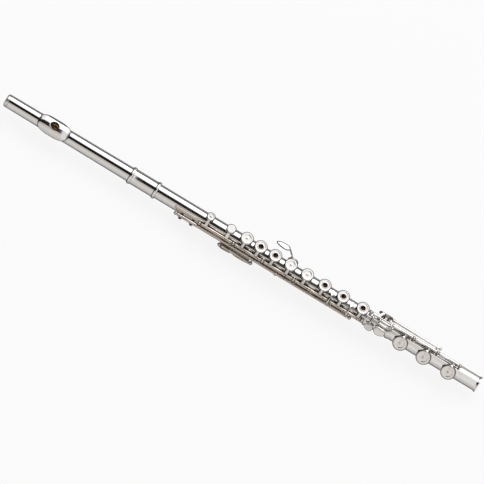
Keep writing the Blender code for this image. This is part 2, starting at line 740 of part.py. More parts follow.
def build_ribs():
    """Ribs with their posts, and the steels that run through them."""
    rib = [strip(TRILL_START - 2 * BALL, MAIN_POSTS[-1] + STEM, HINGE_LEAD, RIB_WIDTH)]
    for station in MAIN_POSTS:
        rib += post(station, MAIN_HINGE, HINGE_LEAD)
    side = HINGE_LEAD + math.degrees(RIB_WIDTH / 3 / BODY_OUTER)
    for station in (TRILL_START, TRILL_END):
        rib += post(station, TRILL_HINGE, side)
    rib += post(TRILL_GUIDE, TRILL_HINGE, side, radius=KEY_TUBE + STEEL)
    cuts = [bore_cutter(MAIN_POSTS[0], MAIN_POSTS[-1], MAIN_HINGE)]
    cuts += [bore_cutter(station, station, TRILL_HINGE) for station in (TRILL_START, TRILL_END)]
    cuts += [bore_cutter(TRILL_GUIDE, TRILL_GUIDE, TRILL_HINGE, KEY_TUBE + GAP)]
    place("main_rib", fuse(rib, cuts), "silver")
    middle = MAIN_POSTS[3]
    upper = rod(MAIN_POSTS[0] - BALL, middle - GAP, STEEL, MAIN_HINGE)
    lower = rod(middle + GAP, MAIN_POSTS[-1] + BALL, STEEL, MAIN_HINGE)
    place("upper_steel", fuse([upper]), "steel")
    place("lower_steel", fuse([lower]), "steel")

    start, end = THUMB_HINGE_X
    rib = [strip(start - BALL, end + BALL, THUMB_RIB_ANGLE, SIDE_RIB_WIDTH)]
    for station in THUMB_HINGE_X:
        rib += post(station, THUMB_HINGE, THUMB_RIB_ANGLE, SIDE_STEM)
    place("thumb_rib", fuse(rib, [bore_cutter(start, end, THUMB_HINGE)]), "silver")
    place("thumb_steel", fuse([rod(start - BALL, end + BALL, STEEL, THUMB_HINGE)]), "steel")

    start, end = LOWER_G - G_SHARP_HALF_SPAN, LOWER_G + G_SHARP_HALF_SPAN
    angle = G_SHARP_CUP_ANGLE - HINGE_LEAD
    rib = [strip(start - BALL, end + BALL, angle, SIDE_RIB_WIDTH)]
    for station in (start, end):
        rib += post(station, G_SHARP_HINGE, angle, SIDE_STEM)
    place("g_sharp_rib", fuse(rib, [bore_cutter(start, end, G_SHARP_HINGE)]), "silver")
    place("g_sharp_steel", fuse([rod(start - BALL, end + BALL, STEEL, G_SHARP_HINGE)]), "steel")


def build_main_keys():
    """Keys of the two stacks, each with one cup, and the G key with two."""
    sections = [[("c_sharp", [C_SHARP])], [("b_flat", [B_FLAT]), ("a", [A])], [("g", [G, LOWER_G])],
                [("f_sharp", [F_SHARP]), ("f", [F])], [("e", [E]), ("d", [D])]]
    finger_holes = {A, G, F, E, D}
    for keys, left, right in zip(sections, MAIN_POSTS, MAIN_POSTS[1:]):
        spans = section_spans(left, right, [cups[0] for _, cups in keys])
        for (name, cups), span in zip(keys, spans):
            radius = SMALL_CUP if name == "c_sharp" else BODY_CUP
            shapes = []
            for station in cups:
                shapes.append(cup(station, 0.0, radius, station in finger_holes))
                shapes.append(cup_arm(station, MAIN_HINGE, 0.0, radius, -1))
            if name == "c_sharp":
                shapes += index_plate()
            parent = add_key(name + "_key", shapes, span, MAIN_HINGE, KEY_OPENING)
            for station in cups:
                label = "lower_g" if station == LOWER_G else name
                add_pad(label + "_pad", parent, station, 0.0, radius, station in finger_holes)


def index_plate():
    """Round plate for the first finger, with its arm."""
    bottom = CUP_TOP - INDEX_THICKNESS
    edge = INDEX_THICKNESS / 3
    profile = [(CUP_TOP, 0), (CUP_TOP, INDEX_RADIUS - edge), (CUP_TOP - edge, INDEX_RADIUS)]
    profile += [(bottom, INDEX_RADIUS), (bottom, 0)]
    rim = (INDEX_PLATE, -INDEX_RADIUS + ARM_DEPTH, CUP_TOP - INDEX_THICKNESS / 2)
    link = arm([(INDEX_PLATE, *MAIN_HINGE), rim], [ARM_WIDTH, ARM_TIP_WIDTH], INDEX_THICKNESS - GAP)
    return [lathe(profile, radial_frame(INDEX_PLATE, 0), CUP_SIDES), link]


def add_touch(name, parent, station):
    """Lever and spade on the tube of a trill key, which come up between two cups."""
    frame = plate_frame(station, over(*SPADE), 0) @ Matrix.Rotation(math.pi / 2, 4, "Z")
    axis = Vector((station, *TRILL_HINGE))
    path = [Vector((station, *over(*spot))) for spot in TRILL_LEVER]
    seat = axis + (path[0] - axis).normalized() * (KEY_TUBE + GAP)
    lever = bar([seat] + path, LEVER)
    place(name, fuse([lever, petal(SPADE_LENGTH, SPADE_WIDTH, frame)]), "key_silver", parent)


def build_trill_keys():
    """Two trill keys on one line: the rod of the first runs through the tube of the second."""
    first_touch, second_touch = (E + D) / 2, (F + E) / 2
    split = (D_TRILL + D_SHARP_TRILL) / 2
    tube_end = second_touch + BALL * 2
    half = SECTION_GAP / 2
    outer_span = (split + half, tube_end - half)

    def trill_cup(station):
        return [cup(station, TRILL_CUP_ANGLE, SMALL_CUP),
                cup_arm(station, TRILL_HINGE, TRILL_CUP_ANGLE, SMALL_CUP, 1)]

    sleeve = rod(tube_end + half, TRILL_END - BALL - GAP, KEY_TUBE, TRILL_HINGE)
    core = rod(TRILL_START - BALL, TRILL_END + BALL, STEEL, TRILL_HINGE)
    shapes = [sleeve, core] + trill_cup(D_SHARP_TRILL)
    parent = add_key("d_sharp_trill_key", shapes, (TRILL_START + BALL + GAP, split - half), TRILL_HINGE,
                     bored=False)
    add_pad("d_sharp_trill_pad", parent, D_SHARP_TRILL, TRILL_CUP_ANGLE, SMALL_CUP)
    add_touch("d_sharp_trill_touch", parent, first_touch)
    parent = add_key("d_trill_key", trill_cup(D_TRILL), outer_span, TRILL_HINGE)
    add_pad("d_trill_pad", parent, D_TRILL, TRILL_CUP_ANGLE, SMALL_CUP)
    add_touch("d_trill_touch", parent, second_touch)


def build_side_keys():
    """Thumb keys under the tube and the G sharp key on its far side."""
    first, last = THUMB_HINGE_X
    split = THUMB_B + THUMB_POST_LEAD
    half = SECTION_GAP / 2
    lift = CUP_TOP + TOUCH_THICKNESS + GAP
    out = radial_frame(THUMB_B, THUMB_CUP_ANGLE)
    stub = lathe([(CUP_CEILING + GAP, 0), (CUP_CEILING + GAP, KEY_TUBE), (lift, KEY_TUBE), (lift, 0)], out,
                 ROD_SIDES)
    shift = Matrix.Translation((THUMB_TOUCH_WIDTH / 6, THUMB_TOUCH_WIDTH / 3, lift))
    shapes = [cup(THUMB_B, THUMB_CUP_ANGLE, SIDE_CUP), stub,
              cup_arm(THUMB_B, THUMB_HINGE, THUMB_CUP_ANGLE, SIDE_CUP, 1),
              petal(THUMB_TOUCH_LENGTH, THUMB_TOUCH_WIDTH, out @ shift, taper=THUMB_TAPER)]
    parent = add_key("thumb_b_key", shapes, (first + BALL + GAP + half, split - half), THUMB_HINGE,
                     -SIDE_OPENING)
    add_pad("thumb_b_pad", parent, THUMB_B, THUMB_CUP_ANGLE, SIDE_CUP)

    touch_end = THUMB_B + THUMB_TOUCH_WIDTH / 6 + THUMB_TOUCH_LENGTH / 2
    middle = touch_end + SECTION_GAP + THUMB_LEVER_LENGTH / 2
    plate = radial_frame(middle, THUMB_CUP_ANGLE) @ Matrix.Translation((0, THUMB_LEVER_WIDTH / 2, lift))
    shapes = [petal(THUMB_LEVER_LENGTH, THUMB_LEVER_WIDTH, plate, taper=THUMB_LEVER_TAPER)]
    for offset in (-THUMB_LEVER_LENGTH / 4, THUMB_LEVER_LENGTH / 4):
        shapes.append(bar([(middle + offset, *THUMB_HINGE), plate @ Vector((offset, 0, 0))], LEVER))
    add_key("thumb_b_flat_key", shapes, (split + half, last - BALL - GAP - half), THUMB_HINGE, -SIDE_OPENING)

    angle = G_SHARP_CUP_ANGLE
    station = LOWER_G - G_SHARP_TOUCH_LEAD
    y, z = over(*G_SHARP_TOUCH)
    tip = station + G_SHARP_TOUCH_LENGTH / 2
    root = radial_frame(LOWER_G, angle) @ Vector((0, 0, CUP_TOP))
    path = [root, (LOWER_G - SIDE_CUP, y, z / 3), (tip, y, z), (station, y, z)]
    touch = plate_frame(station, (y, z), G_SHARP_TOUCH_TURN)
    shapes = [cup(LOWER_G, angle, SIDE_CUP), cup_arm(LOWER_G, G_SHARP_HINGE, angle, SIDE_CUP, 1),
              bar(path, LEVER), petal(G_SHARP_TOUCH_LENGTH, G_SHARP_TOUCH_WIDTH, touch)]
    reach = G_SHARP_HALF_SPAN - BALL - GAP
    parent = add_key("g_sharp_key", shapes, (LOWER_G - reach, LOWER_G + reach), G_SHARP_HINGE)
    add_pad("g_sharp_pad", parent, LOWER_G, angle, SIDE_CUP)


ROLLER_END = ROLLER_START + ROLLER_LENGTH
ROLLER_EARS = (ROLLER_START - EAR - GAP, ROLLER_END + EAR + GAP)


def roller_frame(name):
    """Bar with two ears and the pin of a roller."""
    base = over(ROLLER_ANGLES[name], ROLLER_FRAME_RISE)
    axis = over(ROLLER_ANGLES[name], ROLLER_RISE)
    left, right = ROLLER_EARS
    shapes = [rod(left - EAR / 2, right + EAR / 2, EAR, base, BAR_SIDES)]
    shapes += [bar([(station, *base), (station, *axis)], EAR) for station in ROLLER_EARS]
    shapes.append(rod(left, right, ROLLER_PIN, axis, BAR_SIDES))
    return shapes


def foot_cup_arm(station):
    """Pointed arm from the foot hinge over a cup to its centre."""
    frame = radial_frame(station, FOOT_CUP_ANGLE)
    height = CUP_TOP + GAP
    rim = frame @ Vector((0, FOOT_CUP - GAP, height))
    tip = frame @ Vector((0, NIPPLE_RADIUS, height))
    return arm([(station, *FOOT_HINGE), rim, tip], [ARM_WIDTH, ARM_TIP_WIDTH, ARM_TIP_WIDTH / 3])


def add_roller(name, parent):
    """Roller on the pin of its touch."""
    axis = over(ROLLER_ANGLES[name], ROLLER_RISE)
    edge = ROLLER / 4
    profile = [(ROLLER_START, ROLLER_BORE), (ROLLER_START, ROLLER - edge), (ROLLER_START + edge, ROLLER)]
    profile += [(ROLLER_END - edge, ROLLER), (ROLLER_END, ROLLER - edge), (ROLLER_END, ROLLER_BORE)]
    spin = hinge(name + "_roller", ROLLER_START, axis)
    spin.parent = parent
    spin.location = Vector(spin.location) - Vector(parent.location)
    body = fuse([lathe(profile, rod_frame(axis), ROD_SIDES, loop=True)])
    body.transform(Matrix.Translation((-ROLLER_START, -axis[0], -axis[1])))
    roller = place(name + "_roller", body, "key_silver")
    roller.parent = spin


def build_foot_tube():
    """Foot tube with its socket, band, flared end and first post, and the foot rib."""
    rims, holes = zip(*[chimney(*hole) for hole in FOOT_HOLES])
    socket = SOCKET_INNER + SOCKET_WALL
    socket_end = BODY_END + RING_LENGTH
    band_end = FOOT_BAND_START + FOOT_BAND_LENGTH
    start = FOOT_SOCKET_START
    profile = [(start, 0), (start, socket + RING_HEIGHT), (start + RING_LENGTH, socket + RING_HEIGHT)]
    profile += [(start + RING_LENGTH, socket), (socket_end, socket), (socket_end, BODY_OUTER)]
    profile += [(FOOT_BAND_START, BODY_OUTER), (FOOT_BAND_START, socket), (band_end, socket)]
    profile += [(band_end, BODY_OUTER), (FOOT_END - FOOT_FLARE, BODY_OUTER)]
    lip = BODY_OUTER + FOOT_END_RISE
    profile += [(FOOT_END - FOOT_FLARE / 3, lip), (FOOT_END, lip), (FOOT_END, 0)]
    outside = lathe(profile, rod_frame((0, 0)), TUBE_SIDES)
    first_post = post(FOOT_FIRST_POST, FOOT_HINGE, FOOT_HINGE_ANGLE, foot_reach=SOCKET_INNER)
    bore = rod(start - BODY_OUTER, FOOT_END + BODY_OUTER, BODY_OUTER - TUBE_WALL, (0, 0), TUBE_SIDES)
    tenon_room = rod(start - BODY_OUTER, BODY_END + GAP, SOCKET_INNER, (0, 0), TUBE_SIDES)
    pin = bore_cutter(FOOT_FIRST_POST, FOOT_FIRST_POST, FOOT_HINGE)
    parent = hinge("foot_joint", FOOT_SOCKET_START, (0, 0))
    mesh = fuse([outside, *rims, *first_post], [bore, tenon_room, pin, *holes], "MANIFOLD")
    place("foot_tube", mesh, "silver", parent)

    rib = [strip(FOOT_RIB_START, FOOT_POSTS[-1] + BALL, FOOT_RIB_ANGLE, FOOT_RIB_WIDTH)]
    for station in FOOT_POSTS:
        rib += post(station, FOOT_HINGE, FOOT_RIB_ANGLE)
    cut = bore_cutter(FOOT_POSTS[0], FOOT_POSTS[-1], FOOT_HINGE)
    place("foot_rib", fuse(rib, [cut], "MANIFOLD"), "silver", parent)


def build_foot_keys():
    """D sharp key, then the low C sharp, C and B keys: the rod of the B key carries the others."""
    margin = BALL + GAP
    left_ear, right_ear = ROLLER_EARS
    d_sharp_span = (FOOT_FIRST_POST + margin, left_ear - EAR - 2 * SECTION_GAP)
    station = FOOT_FIRST_POST + 2 * BALL
    petal_at = over(PETAL_ANGLE, PETAL_RISE)
    turn = Matrix.Rotation(-math.radians(D_SHARP_ARM_TURN), 4, "Z")
    side = radial_frame(FOOT_D_SHARP, D_SHARP_CUP_ANGLE) @ turn
    elbow = side @ Vector((0, -FOOT_CUP - ARM_ELBOW, CUP_MIDDLE))
    rim = side @ Vector((0, -FOOT_CUP + ARM_SEAT, CUP_MIDDLE))
    root = (d_sharp_span[1] - ARM_WIDTH / 2, *FOOT_HINGE)
    spots = [FOOT_HINGE] + [over(*spot) for spot in D_SHARP_LEVER] + [petal_at]
    shapes = [cup(FOOT_D_SHARP, D_SHARP_CUP_ANGLE, FOOT_CUP),
              arm([root, elbow, rim], [ARM_WIDTH, ARM_TIP_WIDTH, ARM_TIP_WIDTH]),
              bar([(station, *spot) for spot in spots], LEVER),
              petal(PETAL_LENGTH, PETAL_WIDTH, plate_frame(ROLLER_START - PETAL_LEAD, petal_at, PETAL_ANGLE))]
    parent = add_key("d_sharp_key", shapes, d_sharp_span, FOOT_HINGE)
    add_pad("d_sharp_pad", parent, FOOT_D_SHARP, D_SHARP_CUP_ANGLE, FOOT_CUP)

    crossing = right_ear + EAR + LEVER + 2 * SECTION_GAP
    c_sharp_span = (crossing + LEVER + 2 * SECTION_GAP, FOOT_POSTS[0] - margin)
    root = c_sharp_span[0] + LEVER + GAP
    plate = plate_frame(ROLLER_START + PLATE_SHIFT, over(PLATE_ANGLE, PLATE_RISE), PLATE_ANGLE)
    frame_at = over(ROLLER_ANGLES["low_c_sharp"], ROLLER_FRAME_RISE)
    rising, falling = C_SHARP_LEVER
    path = [(root, *FOOT_HINGE), (root, *over(*rising)), (root - LEVER, *over(*falling))]
    path += [(right_ear, *frame_at)]
    shapes = [cup(LOW_C_SHARP, FOOT_CUP_ANGLE, FOOT_CUP), foot_cup_arm(LOW_C_SHARP), bar(path, LEVER),
              petal(PLATE_LENGTH, PLATE_WIDTH, plate, taper=PLATE_TAPER)]
    shapes += roller_frame("low_c_sharp")
    parent = add_key("low_c_sharp_key", shapes, c_sharp_span, FOOT_HINGE, -FOOT_OPENING)
    add_pad("low_c_sharp_pad", parent, LOW_C_SHARP, FOOT_CUP_ANGLE, FOOT_CUP)
    add_roller("low_c_sharp", parent)

    c_span = (FOOT_POSTS[0] + margin, FOOT_POSTS[1] - margin)
    joint = c_span[1] - LEVER - GAP
    frame_at = over(ROLLER_ANGLES["low_c"], ROLLER_FRAME_RISE)
    path = [(right_ear, *frame_at), (crossing, *frame_at)]
    path += [(crossing, *over(*spot)) for spot in C_LEVER]
    path += [(crossing, *FOOT_BRIDGE)]
    shapes = [cup(LOW_C, FOOT_CUP_ANGLE, FOOT_CUP), foot_cup_arm(LOW_C), bar(path, LEVER),
              rod(crossing, FOOT_POSTS[1], BRIDGE_RADIUS, FOOT_BRIDGE),
              bar([(joint, *FOOT_HINGE), (joint, *FOOT_BRIDGE)], LEVER)]
    shapes += [ball(station, BRIDGE_BALL, FOOT_BRIDGE) for station in (crossing, FOOT_POSTS[1])]
    shapes += roller_frame("low_c")
    parent = add_key("low_c_key", shapes, c_span, FOOT_HINGE, -FOOT_OPENING, solver="MANIFOLD")
    add_pad("low_c_pad", parent, LOW_C, FOOT_CUP_ANGLE, FOOT_CUP)
    add_roller("low_c", parent)

    b_span = (FOOT_POSTS[1] + margin, FOOT_POSTS[2] - margin)
    frame_at = over(ROLLER_ANGLES["low_b"], ROLLER_FRAME_RISE)
    core = rod(FOOT_FIRST_POST - BALL, FOOT_POSTS[2] + BALL, STEEL, FOOT_HINGE)
    shapes = [cup(LOW_B, FOOT_CUP_ANGLE, FOOT_CUP), foot_cup_arm(LOW_B), core,
              bar([(left_ear, *FOOT_HINGE), (left_ear, *frame_at)], EAR - GAP / 4)]
    shapes += roller_frame("low_b")
    parent = add_key("low_b_key", shapes, b_span, FOOT_HINGE, -FOOT_OPENING, bored=False, solver="MANIFOLD")
    add_pad("low_b_pad", parent, LOW_B, FOOT_CUP_ANGLE, FOOT_CUP)
    add_roller("low_b", parent)


build_head()
build_body()
build_ribs()
build_main_keys()
build_trill_keys()
build_side_keys()
build_foot_tube()
build_foot_keys()
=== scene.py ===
# %% [markdown]
# # A concert flute, dressed around its solids
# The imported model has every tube, rib, key and pad of the flute at its real size, with the hinges the
# keys turn on. It is our fixed frame. Its solids are faceted, and a mirror finish shows every facet, so
# each visible piece gets a finer surface here, in the same place, and rides on the body of its solid.

# %% Load the frame
import json
import math

import bmesh
import bpy
from mathutils import Matrix, Vector


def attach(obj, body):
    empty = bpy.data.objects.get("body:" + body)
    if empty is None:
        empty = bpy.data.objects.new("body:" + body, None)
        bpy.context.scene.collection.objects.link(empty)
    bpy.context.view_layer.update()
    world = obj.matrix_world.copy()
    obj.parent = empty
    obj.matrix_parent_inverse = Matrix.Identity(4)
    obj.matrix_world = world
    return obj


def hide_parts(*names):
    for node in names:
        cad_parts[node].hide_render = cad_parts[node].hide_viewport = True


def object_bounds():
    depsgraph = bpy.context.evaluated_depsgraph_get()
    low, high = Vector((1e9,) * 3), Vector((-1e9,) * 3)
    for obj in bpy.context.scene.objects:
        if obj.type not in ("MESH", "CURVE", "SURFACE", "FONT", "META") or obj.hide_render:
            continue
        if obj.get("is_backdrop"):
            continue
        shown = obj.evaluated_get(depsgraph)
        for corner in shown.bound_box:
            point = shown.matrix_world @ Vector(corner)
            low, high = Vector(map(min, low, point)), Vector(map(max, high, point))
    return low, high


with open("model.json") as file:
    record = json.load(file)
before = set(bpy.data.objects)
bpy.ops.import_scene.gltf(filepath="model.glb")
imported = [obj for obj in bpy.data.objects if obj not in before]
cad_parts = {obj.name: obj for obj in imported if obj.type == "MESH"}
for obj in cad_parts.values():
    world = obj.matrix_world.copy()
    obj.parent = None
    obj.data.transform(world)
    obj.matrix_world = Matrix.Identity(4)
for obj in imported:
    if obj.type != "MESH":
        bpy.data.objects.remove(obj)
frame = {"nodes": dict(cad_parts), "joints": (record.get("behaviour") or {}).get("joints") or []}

cad_low, cad_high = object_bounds()
joints = {joint["child"]: joint for joint in frame["joints"]}

# %% [markdown]
# ## Places on the flute
# X runs along the tube with zero at the embouchure hole, Z points up through the body cups, and -Y is
# the player's side. A place across the tube is an angle from the top towards the player and a height
# over the body tube. Tone holes follow the semitone law that sets a flute's scale, so two lengths place
# them all. We could type each hole's place, but then one change would need sixteen edits.

# %% Places across and along the tube
BODY_OUTER = 0.0099
HOLE_SCALE = 0.657
HOLE_OFFSET = 0.0625
SMALL_HOLE_SHIFT = 0.016
GAP = 0.0003


def across(angle, reach):
    """Point (y, z) across the tube, at an angle from the top and a distance from the axis."""
    turn = math.radians(angle)
    return (-reach * math.sin(turn), reach * math.cos(turn))


def over(angle, rise):
    """Point (y, z) across the tube, at an angle from the top and a height over the tube."""
    return across(angle, BODY_OUTER + rise)


def hole_station(step, shift=0.0):
    """Place of a tone hole along the tube, in semitones above the lowest one."""
    return HOLE_SCALE * 2 ** (-step / 12) - HOLE_OFFSET - shift


def radial_frame(station, angle):
    """Frame on the tube axis whose Z points out through the tube wall."""
    return Matrix.Translation((station, 0, 0)) @ Matrix.Rotation(math.radians(angle), 4, "X")


def rod_frame(centre=(0, 0)):
    """Frame whose Z runs along the tube, through a point across it."""
    return Matrix.Translation((0, *centre)) @ Matrix.Rotation(math.pi / 2, 4, "Y")


def plate_frame(station, centre, angle):
    """Frame on a touch plate: X along the tube, Z out of the plate."""
    return Matrix.Translation((station, *centre)) @ Matrix.Rotation(math.radians(angle), 4, "X")


C_SHARP, D_TRILL, D_SHARP_TRILL = (hole_station(step, SMALL_HOLE_SHIFT) for step in (13, 14, 15))
THUMB_B, B_FLAT, A, G, LOWER_G, F_SHARP, F, E, D = (hole_station(step) for step in range(12, 3, -1))
FOOT_D_SHARP, LOW_C_SHARP, LOW_C, LOW_B = (hole_station(step) for step in range(3, -1, -1))


def hinge_of(body):
    """Point (y, z) of a key's hinge, as the frame gives it."""
    return tuple(joints[body]["pos_m"][1:])


print("low B hole at", round(LOW_B, 4), "m, D sharp trill hole at", round(D_SHARP_TRILL, 4), "m")

# %% [markdown]
# ## Shapes
# Almost everything on a flute is turned on a lathe, drawn as wire or cut from sheet, so five helpers
# make all of it: a turned profile, a swept bar, a flat arm, a touch plate and a bent strip. Each returns
# points and faces. Every corner of a profile is rounded first, because a real edge catches a thin line
# of light and a perfectly sharp one doesn't. Modifiers such as Screw and Bevel could do the same, but
# plain points let one mesh hold many shapes and keep exact control of where a rim lies.

# %% Rounding and turning
TUBE_SIDES = 96
CUP_SIDES = 64
ROD_SIDES = 28
TINY = 1e-7
CORNER_SHARE = 0.48


def circle(count, shift=0.0):
    """Angles of points spread evenly round a circle."""
    return [2 * math.pi * (k + shift) / count for k in range(count)]


def rounded(points, radius, steps=4, loop=False):
    """Line of points with each corner drawn out into a short curve."""
    path = []
    for k, corner in enumerate(points):
        corner = Vector(corner)
        if not loop and k in (0, len(points) - 1):
            path.append(corner)
            continue
        ends = []
        for other in (points[k - 1], points[(k + 1) % len(points)]):
            side = Vector(other) - corner
            ends.append(corner + side * min(CORNER_SHARE, radius / max(side.length, TINY)))
        for s in range(steps + 1):
            t = s / steps
            path.append(ends[0].lerp(corner, t).lerp(corner.lerp(ends[1], t), t))
    return [p for k, p in enumerate(path) if k == 0 or (p - path[k - 1]).length > TINY]


def turned(profile, place, sides=CUP_SIDES, loop=False, soften=0.0002):
    """Profile of (height, radius) points turned about the frame's Z axis."""
    points, faces, rings = [], [], []
    for height, radius in rounded(profile, soften, loop=loop):
        count = sides if radius > TINY else 1
        rings.append((len(points), count))
        for turn in circle(sides)[:count]:
            points.append(place @ Vector((radius * math.cos(turn), radius * math.sin(turn), height)))
    following = rings[1:] + rings[:1] if loop else rings[1:]
    for (low, low_count), (high, high_count) in zip(rings, following):
        for k in range(sides):
            n = (k + 1) % sides
            corners = [low + k % low_count, low + n % low_count]
            corners += [high + n % high_count, high + k % high_count]
            faces.append(list(dict.fromkeys(corners)))
    return points, faces


def plug(low, high, radius):
    """Profile of a plain cylinder."""
    return [(low, 0), (low, radius), (high, radius), (high, 0)]


def solid_rod(start, end, radius, centre, sides=ROD_SIDES):
    """Round rod along the tube."""
    return turned(plug(start, end, radius), rod_frame(centre), sides)


# %% Bars, arms and plates
def loft(rings, closed=False):
    """Skin over rings of points, closed into a loop or with a point at each end of the run."""
    count = len(rings[0])
    points = [p for ring in rings for p in ring]
    faces = []
    for r in range(len(rings) if closed else len(rings) - 1):
        a, b = r * count, (r + 1) % len(rings) * count
        for k in range(count):
            n = (k + 1) % count
            faces.append([a + k, a + n, b + n, b + k])
    if not closed:
        for ring, base in ((rings[0], 0), (rings[-1], (len(rings) - 1) * count)):
            points.append(sum(ring, Vector()) / count)
            faces += [[base + k, base + (k + 1) % count, len(points) - 1] for k in range(count)]
    return points, faces


CAP = [(0.0, 0.55), (0.35, 0.85), (0.75, 0.97)]
CAP_LENGTH = 0.6


def bar(points, radius, sides=16, bend=0.002):
    """Round bar through points, with smooth bends and domed ends."""
    path = rounded(points, bend, steps=6)
    rings = []
    side = None
    for i, point in enumerate(path):
        along = (path[min(i + 1, len(path) - 1)] - path[max(i - 1, 0)]).normalized()
        side = along.orthogonal() if side is None else side
        side = (side - along * side.dot(along)).normalized()
        other = along.cross(side)
        spokes = [math.cos(t) * side + math.sin(t) * other for t in circle(sides)]
        steps = [(0.0, 1.0)]
        if i == 0:
            steps = [(share - 1, scale) for share, scale in CAP] + steps
        if i == len(path) - 1:
            steps += [(1 - share, scale) for share, scale in reversed(CAP)]
        for shift, scale in steps:
            middle = point + along * shift * radius * CAP_LENGTH
            rings.append([middle + spoke * radius * scale for spoke in spokes])
    return loft(rings)


def squared(turn, power):
    """Point on an outline one unit out, between a circle and a square."""
    return [math.copysign(abs(side) ** power, side) for side in (math.cos(turn), math.sin(turn))]


def arm(points, widths, depth, bend=0.0015, sides=20, power=0.45):
    """Flat arm with rounded edges: its width runs along the tube, its depth across the arm."""
    path = rounded([(*p, w) for p, w in zip(points, widths)], bend, steps=6)
    outline = [squared(turn, power) for turn in circle(sides)]
    rings = []
    for i, spot in enumerate(path):
        run = path[min(i + 1, len(path) - 1)].to_3d() - path[max(i - 1, 0)].to_3d()
        up = Vector((0, -run.z, run.y)).normalized() * depth / 2
        wide = Vector((spot.w / 2, 0, 0))
        rings.append([spot.to_3d() + wide * along + up * aside for along, aside in outline])
    return loft(rings)


def edge_wire(loop, ups, radius, sides=12):
    """Wire along the edge of a plate, through a loop of points with the plate's normal at each."""
    columns = []
    for k, (spot, up) in enumerate(zip(loop, ups)):
        run = loop[(k + 1) % len(loop)] - loop[k - 1]
        out = run.cross(up).normalized()
        columns.append([spot + (out * math.cos(t) + up * math.sin(t)) * radius for t in circle(sides)])
    return loft(columns, closed=True)


ROLLED_EDGE = 0.0011
EDGE_WIRE = 0.0006


def petal(length, width, place, thickness=0.0010, taper=0.25, count=48):
    """Teardrop touch plate, broad end towards +X, with a rolled edge."""
    half = thickness / 2
    roll = ROLLED_EDGE / (width / 2)
    layers = [(0.05, -half), (0.55, -half), (1 - roll / 4, -half), (1 - roll / 12, -half * 0.7)]
    for k in range(7):
        turn = math.pi / 2 * k / 6
        layers.append((1 - roll * (1 - math.cos(turn)), thickness * math.sin(turn) * 0.9 - half * 0.2))
    layers += [((1 - roll) * share, half * 1.6) for share in (0.8, 0.5, 0.2, 0.05)]
    rings = []
    for scale, height in layers:
        ring = []
        for turn in circle(count):
            breadth = width / 2 * (1 + taper * math.cos(turn)) * math.sin(turn)
            ring.append(place @ Vector((length / 2 * math.cos(turn) * scale, breadth * scale, height)))
        rings.append(ring)
    return loft(rings)


def petal_wire(length, width, place, taper=0.25, count=64):
    """Wire round the edge of a touch plate."""
    reach = Vector((length / 2 - EDGE_WIRE, width / 2 - EDGE_WIRE))
    loop = []
    for turn in circle(count):
        breadth = reach.y * (1 + taper * math.cos(turn)) * math.sin(turn)
        loop.append(place @ Vector((reach.x * math.cos(turn), breadth, 0)))
    return edge_wire(loop, [place.to_3x3() @ Vector((0, 0, 1))] * count, EDGE_WIRE)


def within(size, wires):
    """Length and width of a touch plate that leaves room for its wire."""
    return [side - wires * EDGE_WIRE for side in size]


RIB_INNER, RIB_THICKNESS = BODY_OUTER + GAP, 0.0012
RIB_EDGE = RIB_THICKNESS * 0.3
RIB_LEAST = 0.2


def strip(start, end, angle, width, columns=9, steps=8):
    """Rib bent round the tube wall, with rounded ends."""
    half = width / 2
    runs = []
    for k in range(1, steps + 1):
        turn = math.pi / 2 * k / steps
        runs.append((half * (1 - math.cos(turn)), half * math.sin(turn)))
    stations = [(start + shift, h) for shift, h in runs] + [(end - shift, h) for shift, h in reversed(runs)]
    spread = [2 * c / (columns - 1) - 1 for c in range(columns)]
    top = RIB_INNER + RIB_THICKNESS
    rows = ((RIB_INNER, 0.0, spread), (top - RIB_EDGE, 0.0, [1.0]),
            (top, RIB_EDGE, spread[::-1]), (top - RIB_EDGE, 0.0, [-1.0]))
    rings = []
    for station, h in stations:
        ring = []
        for reach, shrink, shares in rows:
            for share in shares:
                offset = share * max(h - shrink, h * RIB_LEAST)
                ring.append(Vector((station, *across(angle + math.degrees(offset / BODY_OUTER), reach))))
        rings.append(ring)
    return loft(rings)


print("shape helpers ready")

# %% [markdown]
# ## Finishes
# The flute is silver. Clean silver is nearly a mirror, so its look comes from what it reflects, with
# three small departures from chrome: a faint warm tarnish in soft patches, hairlines from years of
# wiping that run along the tube, and a bore painted a warmer, duller brown, a painted reflection that
# shows brown in the tone holes. Each is a node group, so that the tubes, the keys and the touches share
# it with their own amounts. A dark Specular Tint and a grey coat tint dim the metal, most near a grazing
# angle: painted shade that draws the thin dark outline of each rod.

# %% Node helpers
def feed(tree, socket, value):
    """Give a socket its value, as a link or as a constant."""
    if isinstance(value, bpy.types.NodeSocket):
        tree.links.new(value, socket)
    else:
        socket.default_value = value


def set_inputs(tree, node, **values):
    """Node with its inputs fed by name; an underscore stands for a space."""
    for label, value in values.items():
        feed(tree, node.inputs[label.replace("_", " ")], value)
    return node


def add_node(tree, kind, **values):
    """New node of a kind, with its inputs fed by name."""
    return set_inputs(tree, tree.nodes.new("ShaderNode" + kind), **values)


def math_node(tree, operation, first, second):
    """Math node whose two inputs are numbers or links."""
    node = add_node(tree, "Math")
    node.operation = operation
    for socket, value in zip(node.inputs, (first, second)):
        feed(tree, socket, value)
    return node.outputs[0]


def noise_node(tree, vector, scale, detail):
    """Noise over a place, as a value."""
    return add_node(tree, "TexNoise", Vector=vector, Scale=scale, Detail=detail).outputs["Fac"]


MIX_INPUTS, MIX_OUTPUT = (0, 6, 7), 2


def mix_colour(tree, share, first, second, blend="MIX"):
    """Mix of two colours."""
    node = add_node(tree, "Mix")
    node.data_type = "RGBA"
    node.blend_type = blend
    for index, value in zip(MIX_INPUTS, (share, first, second)):
        feed(tree, node.inputs[index], value)
    return node.outputs[MIX_OUTPUT]


def bump_node(tree, height, strength, distance):
    """Normal of a surface raised by a height."""
    return add_node(tree, "Bump", Height=height, Strength=strength, Distance=distance).outputs["Normal"]


print("node helpers ready")

